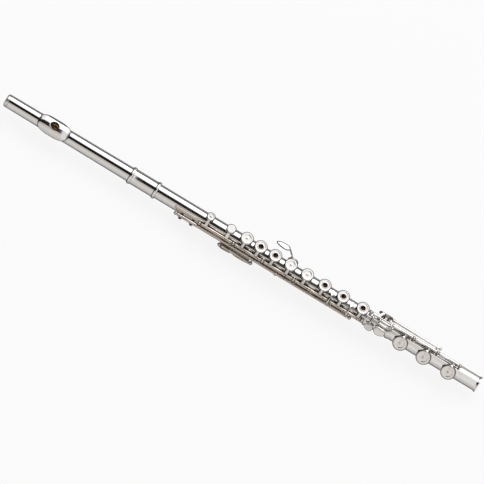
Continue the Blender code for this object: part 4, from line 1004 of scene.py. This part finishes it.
side = HINGE_LEAD + math.degrees(0.0016 / BODY_OUTER)
trill_posts = bored_post(TRILL_START, TRILL_HINGE, side) + bored_post(TRILL_END, TRILL_HINGE, side)
trill_posts += post(TRILL_GUIDE, TRILL_HINGE, side, radius=KEY_TUBE + STEEL_RADIUS, bore=KEY_TUBE + GAP)
ends = (TRILL_START - 2 * BALL, MAIN_POSTS[-1] + POST_STEM)
add_rib("main_rib_posts", "body", "main_rib", ends, HINGE_LEAD, WIDE_RIB, MAIN_HINGE, MAIN_POSTS,
        extra=trill_posts)
add_rib("thumb_rib_posts", "body", "thumb_rib", around(THUMB_X), THUMB_RIB_ANGLE, SIDE_RIB, THUMB_HINGE,
        THUMB_X, SIDE_STEM)
add_rib("g_sharp_rib_posts", "body", "g_sharp_rib", around(G_SHARP_X), G_SHARP_ANGLE - HINGE_LEAD, SIDE_RIB,
        G_SHARP_HINGE, G_SHARP_X, SIDE_STEM)


def add_steel(name, start, end, centre, node):
    """Hinge steel with a turned-down end."""
    head = [(start, 0), (start, STEEL_RADIUS * 0.8), (start + 0.0003, STEEL_RADIUS), (end, STEEL_RADIUS)]
    add_piece(name, [turned(head + [(end, 0)], rod_frame(centre), ROD_SIDES)], STEEL, "body", node)


middle = MAIN_POSTS[3]
add_steel("upper_hinge_steel", MAIN_POSTS[0] - BALL, middle - GAP, MAIN_HINGE, "upper_steel")
add_steel("lower_hinge_steel", middle + GAP, MAIN_POSTS[-1] + BALL, MAIN_HINGE, "lower_steel")
add_steel("thumb_hinge_steel", *around(THUMB_X), THUMB_HINGE, "thumb_steel")
add_steel("g_sharp_hinge_steel", *around(G_SHARP_X), G_SHARP_HINGE, "g_sharp_steel")
print("posts on the main rib:", len(MAIN_POSTS) + 3)

# %% [markdown]
# ## Keys of the two stacks
# Between two posts, one or two keys share the steel. A loop reads the same list of sections that the
# mechanism has, and the span of each key tube follows from its neighbours. Pins hold each tube to its
# steel, and a blued needle spring runs along the rib from each post but the last.

# %% Main keys
SECTIONS = [[("c_sharp", [C_SHARP])], [("b_flat", [B_FLAT]), ("a", [A])], [("g", [G, LOWER_G])],
            [("f_sharp", [F_SHARP]), ("f", [F])], [("e", [E]), ("d", [D])]]
FINGER_HOLES = {A, G, F, E, D}
INDEX_PLATE = (C_SHARP + B_FLAT) / 2 + 0.0035
INDEX_RADIUS = 0.00675
INDEX_BOTTOM = CUP_TOP - 0.0014
SECTION_GAP = 0.0005
PIN_SHARES = (0.12, 0.80)
NEEDLE, NEEDLE_RADIUS, NEEDLE_PLACE = 0.022, 0.00025, over(50.0, 0.0020)


def section_spans(left_post, right_post, cups):
    """Hinge tube spans of keys that share the room between two posts."""
    edges = [left_post + BALL + GAP]
    edges += [(first + second) / 2 for first, second in zip(cups, cups[1:])]
    edges.append(right_post - BALL - GAP)
    return [(a + SECTION_GAP / 2, b - SECTION_GAP / 2) for a, b in zip(edges, edges[1:])]


def index_plate():
    """Round plate for the first finger, with its arm."""
    profile = [(CUP_TOP - 0.0001, 0), (CUP_TOP, INDEX_RADIUS * 0.5)]
    profile += shoulder(INDEX_RADIUS - RIM_SKIN, INDEX_BOTTOM) + [(INDEX_BOTTOM, 0)]
    rim = (INDEX_PLATE, -INDEX_RADIUS + ARM_DEPTH, CUP_TOP - 0.0007)
    link = arm([(INDEX_PLATE, *MAIN_HINGE), rim], [ARM_WIDTH, ARM_TIP], 0.0011)
    return [turned(profile, radial_frame(INDEX_PLATE, 0), CUP_SIDES), link]


for keys, left, right in zip(SECTIONS, MAIN_POSTS, MAIN_POSTS[1:]):
    spans = section_spans(left, right, [cups[0] for _, cups in keys])
    for (body, cups), span in zip(keys, spans):
        radius = SMALL_CUP if body == "c_sharp" else BODY_CUP
        turn = resting_turn(body)
        shapes, rims = [], []
        for station in cups:
            shapes.append(cup(station, 0.0, radius, station in FINGER_HOLES))
            rims.append(rim_band(station, 0.0, radius))
            shapes.append(cup_arm(station, MAIN_HINGE, 0.0, radius, -1))
            node = "lower_g_pad" if station == LOWER_G else body + "_pad"
            add_pad(node, body, turn, station, 0.0, radius, station in FINGER_HOLES)
        if body == "c_sharp":
            shapes += index_plate()
            rims.append(rim_band(INDEX_PLATE, 0.0, INDEX_RADIUS, INDEX_BOTTOM))
        pinned = pins([span[0] + share * (span[1] - span[0]) for share in PIN_SHARES], MAIN_HINGE)
        add_key(body, shapes, [hinge_tube(*span, MAIN_HINGE)], rims, pinned, turn)
springs = []
for station in MAIN_POSTS[:-1]:
    needle = [(station + reach, *NEEDLE_PLACE) for reach in (0.0, NEEDLE)]
    springs.append(bar(needle, NEEDLE_RADIUS, sides=8))
add_piece("needle_springs", springs, SPRING_STEEL, "body")
print("pieces so far:", len(made_pieces))

# %% [markdown]
# ## Trill, thumb and G sharp keys
# The trill keys sit on one line on the player's side: the rod of the first runs inside the tube of the
# second. Their levers curl up over the hinge to small touches between the finger cups.

# %% Trill keys
LEVER = 0.0011
TRILL_LEVER = ((77.5, 0.0085), (57.4, 0.0105), (40.2, 0.0095), (24.6, 0.0081))
SPADE = (0.0090, 0.0064)
TRILL_PINS = (0.06, 0.30, 0.47, 0.68, 0.90)


def spade(station):
    """Trill touch that comes up between two cups."""
    place = plate_frame(station, over(15.2, 0.0073), 0) @ Matrix.Rotation(math.pi / 2, 4, "Z")
    path = [(station, *TRILL_HINGE)] + [(station, *over(*spot)) for spot in TRILL_LEVER]
    return [bar(path, LEVER), petal(*SPADE, place)]


def trill_cup(station):
    """Small cup under the tube, with its arm."""
    arm_under = cup_arm(station, TRILL_HINGE, TRILL_CUP_ANGLE, SMALL_CUP, 1)
    return [cup(station, TRILL_CUP_ANGLE, SMALL_CUP), arm_under]


split = (D_TRILL + D_SHARP_TRILL) / 2
tube_end = (F + E) / 2 + 2 * BALL
shapes = [hinge_tube(TRILL_START + BALL + GAP, split - SECTION_GAP / 2, TRILL_HINGE, bored=False),
          hinge_tube(tube_end + SECTION_GAP / 2, TRILL_END - BALL - GAP, TRILL_HINGE, bored=False),
          solid_rod(TRILL_START - BALL, TRILL_END + BALL, STEEL_RADIUS, TRILL_HINGE)]
pinned = pins([TRILL_START + 2 * BALL, split - BALL, tube_end + BALL], TRILL_HINGE)
add_key("d_sharp_trill", shapes + trill_cup(D_SHARP_TRILL), pinned=pinned, finish=ROD_PAINTED_SHADE)
shapes = [hinge_tube(split + SECTION_GAP / 2, tube_end - SECTION_GAP / 2, TRILL_HINGE)]
room = tube_end - split
pinned = pins([split + room * share for share in TRILL_PINS], TRILL_HINGE)
add_key("d_trill", shapes + trill_cup(D_TRILL), pinned=pinned, finish=ROD_PAINTED_SHADE)
trills = (("d_sharp_trill", D_SHARP_TRILL, (E + D) / 2), ("d_trill", D_TRILL, (F + E) / 2))
for body, hole, touch in trills:
    add_pad(body + "_pad", body, Matrix(), hole, TRILL_CUP_ANGLE, SMALL_CUP)
    add_piece(body + "_spade", spade(touch), KEY_SILVER, body, body + "_touch")

# %% Thumb keys
THUMB_TOUCH, THUMB_LEVER = (0.019, 0.013), (0.0275, 0.009)
SPINE = (-0.0140, -0.0054)
split = THUMB_B + THUMB_LEAD
lift = CUP_TOP + 0.0010 + GAP
out = radial_frame(THUMB_B, THUMB_ANGLE)
stub = turned(plug(CUP_CEILING + GAP, lift, KEY_TUBE), out, 24)
shift = Matrix.Translation((THUMB_TOUCH[1] / 6, THUMB_TOUCH[1] / 3, lift))
shapes = [hinge_tube(THUMB_X[0] + BALL + GAP + SECTION_GAP / 2, split - SECTION_GAP / 2, THUMB_HINGE),
          cup(THUMB_B, THUMB_ANGLE, SIDE_CUP), stub, cup_arm(THUMB_B, THUMB_HINGE, THUMB_ANGLE, SIDE_CUP, 1),
          petal(*THUMB_TOUCH, out @ shift, taper=-0.2)]
turn = resting_turn("thumb_b")
add_key("thumb_b", shapes, turn=turn, finish=ROD_PAINTED_SHADE)
add_pad("thumb_b_pad", "thumb_b", turn, THUMB_B, THUMB_ANGLE, SIDE_CUP)

middle = THUMB_B + THUMB_TOUCH[1] / 6 + THUMB_TOUCH[0] / 2 + SECTION_GAP + THUMB_LEVER[0] / 2
place = radial_frame(middle, THUMB_ANGLE) @ Matrix.Translation((0, 0.0045, lift))
shapes = [hinge_tube(split + SECTION_GAP / 2, THUMB_X[1] - BALL - GAP - SECTION_GAP / 2, THUMB_HINGE),
          petal(*THUMB_LEVER, place, taper=-0.3),
          bar([(split + LEVER, *SPINE), (THUMB_X[1] - BALL - LEVER, *SPINE)], LEVER)]
for offset in (-THUMB_LEVER[0] / 4, THUMB_LEVER[0] / 4):
    shapes.append(bar([(middle + offset, *THUMB_HINGE), place @ Vector((offset, 0, 0))], LEVER))
add_key("thumb_b_flat", shapes, turn=resting_turn("thumb_b_flat"), finish=ROD_PAINTED_SHADE)

# %% G sharp key
G_TOUCH = (0.0205, 0.0086)
reach = G_SHARP_REACH - BALL - GAP
touch_x = LOWER_G - 0.0209
y, z = over(-65.8, 0.0140)
touch = plate_frame(touch_x, (y, z), -6.0)
root = radial_frame(LOWER_G, G_SHARP_ANGLE) @ Vector((0, 0, CUP_TOP))
path = [root, (LOWER_G - SIDE_CUP, y, z / 3), (touch_x + G_TOUCH[0] / 2, y, z), (touch_x, y, z)]
shapes = [hinge_tube(LOWER_G - reach, LOWER_G + reach, G_SHARP_HINGE), cup(LOWER_G, G_SHARP_ANGLE, SIDE_CUP),
          cup_arm(LOWER_G, G_SHARP_HINGE, G_SHARP_ANGLE, SIDE_CUP, 1), bar(path, LEVER, bend=0.004),
          petal(*within(G_TOUCH, 3), touch)]
add_key("g_sharp", shapes, rims=[rim_band(LOWER_G, G_SHARP_ANGLE, SIDE_CUP)])
# Near-black wire round the G sharp touch: painted shade for its outline.
add_piece("g_sharp_outline_shade", [petal_wire(*G_TOUCH, touch)], PAINTED_SHADE_SILVER, "g_sharp")
add_pad("g_sharp_pad", "g_sharp", Matrix(), LOWER_G, G_SHARP_ANGLE, SIDE_CUP)
print("pieces so far:", len(made_pieces))

# %% [markdown]
# ## Foot joint
# The foot turns on the body's tenon. Its cups face the player, and all its keys share one hinge line on
# top: the rod of the lowest key runs inside the tubes of the others. The little finger slides between
# three rollers.

# %% Foot tube and rib
FOOT_FIRST_POST = FOOT_START + 0.0025
POST_SETBACK = 0.0052
FOOT_POSTS = [(LOW_C_SHARP + LOW_C) / 2 - POST_SETBACK, (LOW_C + LOW_B) / 2 - POST_SETBACK,
              LOW_B + FOOT_CUP - SECTION_GAP]
FIRST_POST_ANGLE, FOOT_RIB_ANGLE, FOOT_RIB_START = -5.0, -20.0, 0.5065
BAND = (0.5015, 0.5055)
RING_OUTER, RING_WIDTH = SOCKET_OUTER + 0.0004, 0.0022
RING_END, SOCKET_END = FOOT_START + RING_WIDTH, BODY_END + RING_WIDTH
END_RING = [(0.0036, 0), (0.0022, 0.0005), (0.0012, 0.0011), (0, 0.0011)]
profile = [(FOOT_START, 0), (FOOT_START, RING_OUTER), (RING_END, RING_OUTER), (RING_END, SOCKET_OUTER),
           (SOCKET_END, SOCKET_OUTER), (SOCKET_END, BODY_OUTER), (BAND[0], BODY_OUTER),
           (BAND[0], SOCKET_OUTER), (BAND[1], SOCKET_OUTER), (BAND[1], BODY_OUTER)]
profile += [(FOOT_END - before, BODY_OUTER + rise) for before, rise in END_RING]
outside = tube(profile + [(FOOT_END, 0)])
foot_holes = [(station, FOOT_CUP_ANGLE, FOOT_HOLE) for station in (LOW_C_SHARP, LOW_C, LOW_B)]
rims, cutters = chimneys(foot_holes + [(FOOT_D_SHARP, D_SHARP_ANGLE, FOOT_HOLE)])
bore = bore_cutter(FOOT_START - CUT_PAST, FOOT_END + CUT_PAST, BORE_RADIUS)
tenon_room = bore_cutter(FOOT_START - CUT_PAST, BODY_END + GAP, SOCKET_INNER)
foot = cut_mesh("foot_pipe", [outside] + rims, [bore, tenon_room] + cutters)
true_round(foot, (BODY_OUTER, SOCKET_OUTER, BORE_RADIUS))
add_mesh("foot_pipe", foot, TUBE_SILVER, "foot", "foot_tube")
stand = bored_post(FOOT_FIRST_POST, FOOT_HINGE, FIRST_POST_ANGLE, foot_reach=SOCKET_OUTER - GAP)
add_piece("foot_first_post", stand, ROD_PAINTED_SHADE, "foot")
ends = (FOOT_RIB_START, FOOT_POSTS[-1] + BALL)
add_rib("foot_rib_posts", "foot", "foot_rib", ends, FOOT_RIB_ANGLE, FOOT_RIB, FOOT_HINGE, FOOT_POSTS)
print("foot tube faces:", len(foot.polygons))

# %% Foot keys
ROLLER_ANGLES = {"low_b": 13.0, "low_c": 28.0, "low_c_sharp": 43.0}
ROLLER_START, ROLLER_END, ROLLER, EAR = 0.4870, 0.4970, 0.00168, 0.0009
ROLLER_BORE, ROLLER_EDGE, ROLLER_PIN = 0.0010, 0.0004, 0.0007
FRAME_RISE, AXIS_RISE = 0.0053, 0.0089
EARS = (ROLLER_START - EAR - GAP, ROLLER_END + EAR + GAP)
MARGIN = BALL + GAP
BRIDGE, BRIDGE_RADIUS, BRIDGE_BALL = over(-20.3, 0.0089), 0.0016, 0.0022
D_SHARP_TOUCH, C_SHARP_TOUCH = (0.0124, 0.0105), (0.0165, 0.0115)


def roller_frame(body):
    """Bar with two ears and the pin of a roller."""
    base, axis = (over(ROLLER_ANGLES[body], rise) for rise in (FRAME_RISE, AXIS_RISE))
    shapes = [solid_rod(EARS[0] - EAR / 2, EARS[1] + EAR / 2, EAR, base, 16)]
    shapes += [bar([(ear, *base), (ear, *axis)], EAR) for ear in EARS]
    return shapes + [solid_rod(*EARS, ROLLER_PIN, axis, 16)]


def foot_cup(station):
    """Low cup with its pointed arm, which runs over the cup to its centre."""
    place = radial_frame(station, FOOT_CUP_ANGLE)
    rim = place @ Vector((0, FOOT_CUP - GAP, CUP_TOP + GAP))
    tip = place @ Vector((0, 0.0011, CUP_TOP + GAP))
    pointed = arm([(station, *FOOT_HINGE), rim, tip], [ARM_WIDTH, ARM_TIP, ARM_TIP / 3], ARM_DEPTH)
    return [cup(station, FOOT_CUP_ANGLE, FOOT_CUP), pointed]


def add_foot_key(body, shapes, pinned, station, rims=()):
    """Low key with its cup, its pad and its roller, turned to where it rests."""
    turn = resting_turn(body)
    rims = [*rims, rim_band(station, FOOT_CUP_ANGLE, FOOT_CUP)]
    add_key(body, shapes + foot_cup(station) + roller_frame(body), [], rims, pinned, turn)
    add_pad(body + "_pad", body, turn, station, FOOT_CUP_ANGLE, FOOT_CUP)
    profile = [(ROLLER_START, ROLLER_BORE), (ROLLER_START, ROLLER - ROLLER_EDGE),
               (ROLLER_START + ROLLER_EDGE, ROLLER), (ROLLER_END - ROLLER_EDGE, ROLLER),
               (ROLLER_END, ROLLER - ROLLER_EDGE), (ROLLER_END, ROLLER_BORE)]
    shape = turned(profile, rod_frame(over(ROLLER_ANGLES[body], AXIS_RISE)), ROD_SIDES, loop=True)
    name = body + "_roller"
    add_piece(name + "_barrel", [shape], KEY_SILVER, name, name, turn=turn)


station = FOOT_FIRST_POST + 2 * BALL
petal_at = over(64.0, 0.0071)
touch = plate_frame(ROLLER_START - 0.0100, petal_at, 64.0)
span = (FOOT_FIRST_POST + MARGIN, EARS[0] - EAR - 2 * SECTION_GAP)
place = radial_frame(FOOT_D_SHARP, D_SHARP_ANGLE) @ Matrix.Rotation(-math.radians(21.0), 4, "Z")
elbow, tip = arm_ends(place, FOOT_CUP, -1)
path = [FOOT_HINGE, over(14.5, 0.0081), over(37.3, 0.0074), petal_at]
shapes = [hinge_tube(*span, FOOT_HINGE), cup(FOOT_D_SHARP, D_SHARP_ANGLE, FOOT_CUP),
          arm([(span[1] - ARM_WIDTH / 2, *FOOT_HINGE), elbow, tip], [ARM_WIDTH, ARM_TIP, ARM_TIP], ARM_DEPTH),
          bar([(station, *spot) for spot in path], LEVER), petal(*within(D_SHARP_TOUCH, 1), touch)]
rims = [rim_band(FOOT_D_SHARP, D_SHARP_ANGLE, FOOT_CUP), petal_wire(*D_SHARP_TOUCH, touch)]
add_key("d_sharp", shapes, rims=rims)
add_pad("d_sharp_pad", "d_sharp", Matrix(), FOOT_D_SHARP, D_SHARP_ANGLE, FOOT_CUP)

crossing = EARS[1] + EAR + LEVER + 2 * SECTION_GAP
span = (crossing + LEVER + 2 * SECTION_GAP, FOOT_POSTS[0] - MARGIN)
root = span[0] + LEVER + GAP
path = [(root, *FOOT_HINGE), (root, *over(13.7, 0.0079)), (root - LEVER, *over(33.9, 0.0070)),
        (EARS[1], *over(ROLLER_ANGLES["low_c_sharp"], FRAME_RISE))]
touch = plate_frame(ROLLER_START + 0.0052, over(60.0, 0.0057), 60.0)
shapes = [hinge_tube(*span, FOOT_HINGE), bar(path, LEVER),
          petal(*within(C_SHARP_TOUCH, 1), touch, taper=-0.15)]
rims = [petal_wire(*C_SHARP_TOUCH, touch, taper=-0.15)]
add_foot_key("low_c_sharp", shapes, pins([span[1] - BALL], FOOT_HINGE), LOW_C_SHARP, rims)

span = (FOOT_POSTS[0] + MARGIN, FOOT_POSTS[1] - MARGIN)
joint_x = span[1] - LEVER - GAP
frame_at = over(ROLLER_ANGLES["low_c"], FRAME_RISE)
path = [(EARS[1], *frame_at)]
path += [(crossing, *spot) for spot in (frame_at, over(13.6, 0.0092), over(-3.9, 0.0094), BRIDGE)]
shapes = [hinge_tube(*span, FOOT_HINGE), bar(path, LEVER),
          solid_rod(crossing, FOOT_POSTS[1], BRIDGE_RADIUS, BRIDGE),
          bar([(joint_x, *FOOT_HINGE), (joint_x, *BRIDGE)], LEVER)]
for end in (crossing, FOOT_POSTS[1]):
    shapes += post(end, BRIDGE, 0, radius=BRIDGE_BALL)[1:]
pinned = pins([span[0] + BALL, (span[0] + span[1]) / 2], FOOT_HINGE)
add_foot_key("low_c", shapes, pinned, LOW_C)

span = (FOOT_POSTS[1] + MARGIN, FOOT_POSTS[2] - MARGIN)
shapes = [hinge_tube(*span, FOOT_HINGE, bored=False),
          solid_rod(FOOT_FIRST_POST - BALL, FOOT_POSTS[2] + BALL, STEEL_RADIUS, FOOT_HINGE),
          bar([(EARS[0], *FOOT_HINGE), (EARS[0], *over(ROLLER_ANGLES["low_b"], FRAME_RISE))], EAR)]
pinned = pins([span[0] + BALL, (span[0] + span[1]) / 2], FOOT_HINGE)
add_foot_key("low_b", shapes, pinned, LOW_B)
print("pieces:", len(made_pieces))

# %% [markdown]
# ## Studio
# A product shot of silver is a picture of its surroundings. Here a white sheet hangs over the far side,
# a dark gap is left over the camera, and a warm grey card stands on the player's side, all far away and
# as long as the flute, so they lie in the world's colour by direction round the X axis. Beyond the ends
# of the sheet the room is dark. The floor is pale and keeps a soft shadow.

# %% World and floor
SURROUNDINGS = [(-180, (0.02, 0.02, 0.02)), (-74, (0.02, 0.02, 0.02)), (-66, (1.00, 1.00, 1.02)),
                (-30, (1.25, 1.25, 1.27)), (-1, (1.25, 1.25, 1.27)), (2, (0.01, 0.01, 0.01)),
                (39, (0.01, 0.01, 0.01)), (44, (0.62, 0.58, 0.53)), (75, (0.86, 0.82, 0.77)),
                (88, (0.94, 0.90, 0.86)), (180, (0.94, 0.90, 0.86))]
CARD_END = (0.030, 0.040)
CARD_BEYOND = (1.00, 0.98, 0.96)
SHEET_END = (0.65, 0.95)
ROOM = 0.04


def smooth_step(tree, value, ends, low, high):
    """Value that goes smoothly from low to high between two ends."""
    node = add_node(tree, "MapRange", Value=value, To_Min=low, To_Max=high)
    set_inputs(tree, node, From_Min=ends[0], From_Max=ends[1])
    node.interpolation_type = "SMOOTHSTEP"
    return node.outputs[0]


world = bpy.data.worlds.new("studio")
world.use_nodes = True
bpy.context.scene.world = world
tree = world.node_tree
x, y, z = add_node(tree, "SeparateXYZ", Vector=add_node(tree, "TexCoord").outputs["Generated"]).outputs
angle = math_node(tree, "ARCTAN2", math_node(tree, "MULTIPLY", y, -1.0), z)
share = math_node(tree, "ADD", math_node(tree, "DIVIDE", angle, 2 * math.pi), 0.5)
ramp = add_node(tree, "ValToRGB")
feed(tree, ramp.inputs[0], share)
stops = ramp.color_ramp.elements
while len(stops) < len(SURROUNDINGS):
    stops.new(0.5)
for stop, (degrees, colour) in zip(stops, SURROUNDINGS):
    stop.position = degrees / 360 + 0.5
for stop, (degrees, colour) in zip(stops, SURROUNDINGS):
    stop.color = (*colour, 1)
beyond = smooth_step(tree, x, CARD_END, 0.0, 1.0)
sky = mix_colour(tree, beyond, ramp.outputs["Color"], (*CARD_BEYOND, 1), "LIGHTEN")
ends = smooth_step(tree, math_node(tree, "ABSOLUTE", x, 0.0), SHEET_END, 1.0, ROOM)
set_inputs(tree, tree.nodes["Background"], Color=sky, Strength=ends)

GLOW_SEEN, GLOW_MIRRORED = 0.86, 0.30
PAPER, PAPER_ROUGHNESS = (0.70, 0.70, 0.70), 0.9
MIDDLE_X = 0.28
floor_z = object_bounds()[0].z - 0.0005
bpy.ops.mesh.primitive_plane_add(size=20, location=(MIDDLE_X, 0, floor_z))
floor = bpy.context.object
floor.name = "floor"
floor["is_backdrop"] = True
paper, tree, shader = start_material("floor_paper")
set_inputs(tree, shader, Base_Color=(*PAPER, 1), Roughness=PAPER_ROUGHNESS)
rays = add_node(tree, "LightPath").outputs
mirrored = math_node(tree, "MAXIMUM", rays["Is Glossy Ray"], rays["Is Transmission Ray"])
mirrored = math_node(tree, "MULTIPLY", mirrored, GLOW_MIRRORED)
seen = math_node(tree, "MULTIPLY", rays["Is Camera Ray"], GLOW_SEEN)
blend = add_node(tree, "MixShader")
parts = (math_node(tree, "MAXIMUM", seen, mirrored), shader.outputs[0], add_node(tree, "Emission").outputs[0])
for socket, part in zip(blend.inputs, parts):
    feed(tree, socket, part)
tree.links.new(blend.outputs[0], tree.nodes["Material Output"].inputs["Surface"])
floor.data.materials.append(paper)
print("floor at", round(floor_z, 4))

# %% Lamp and camera
lamp = bpy.data.objects.new("soft_box", bpy.data.lights.new("soft_box", "AREA"))
lamp.data.size = 2.0
lamp.data.energy = 30.0
lamp.location = (0.3, 1.6, 2.2)
lamp.rotation_euler = (Vector(lamp.location) - Vector((MIDDLE_X, 0, 0))).to_track_quat("Z", "Y").to_euler()
bpy.context.scene.collection.objects.link(lamp)

BACK = Vector((0, -0.480, 0.877)).normalized()
PLAYER_DOWN = Vector((0, -0.877, -0.480)).normalized()
ALONG = (0.8561, 0.5169)
TARGET = Vector((0.2823, 0, 0))
DISTANCE, SENSOR, VIEW_WIDTH = 6.0, 36.0, 0.622
right = Vector((1, 0, 0)) * ALONG[0] - PLAYER_DOWN * ALONG[1]
up = -(Vector((1, 0, 0)) * ALONG[1] + PLAYER_DOWN * ALONG[0])
camera = bpy.data.objects.new("camera", bpy.data.cameras.new("camera"))
camera.data.sensor_width = SENSOR
camera.data.lens = SENSOR * DISTANCE / VIEW_WIDTH
camera.data.clip_end = 100.0
facing = Matrix((right, up, BACK)).transposed().to_4x4()
camera.matrix_world = Matrix.Translation(TARGET + BACK * DISTANCE) @ facing
bpy.context.scene.collection.objects.link(camera)
bpy.context.scene.camera = camera
bpy.context.scene.view_settings.view_transform = "Standard"
print("camera", DISTANCE, "m away, lens", round(camera.data.lens, 1), "mm")

# %% Sizes, and the end of the lesson
seen_low, seen_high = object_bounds()
for label, box in (("solid box", cad_high - cad_low), ("dressed box", seen_high - seen_low)):
    print(label, [round(v, 4) for v in box])
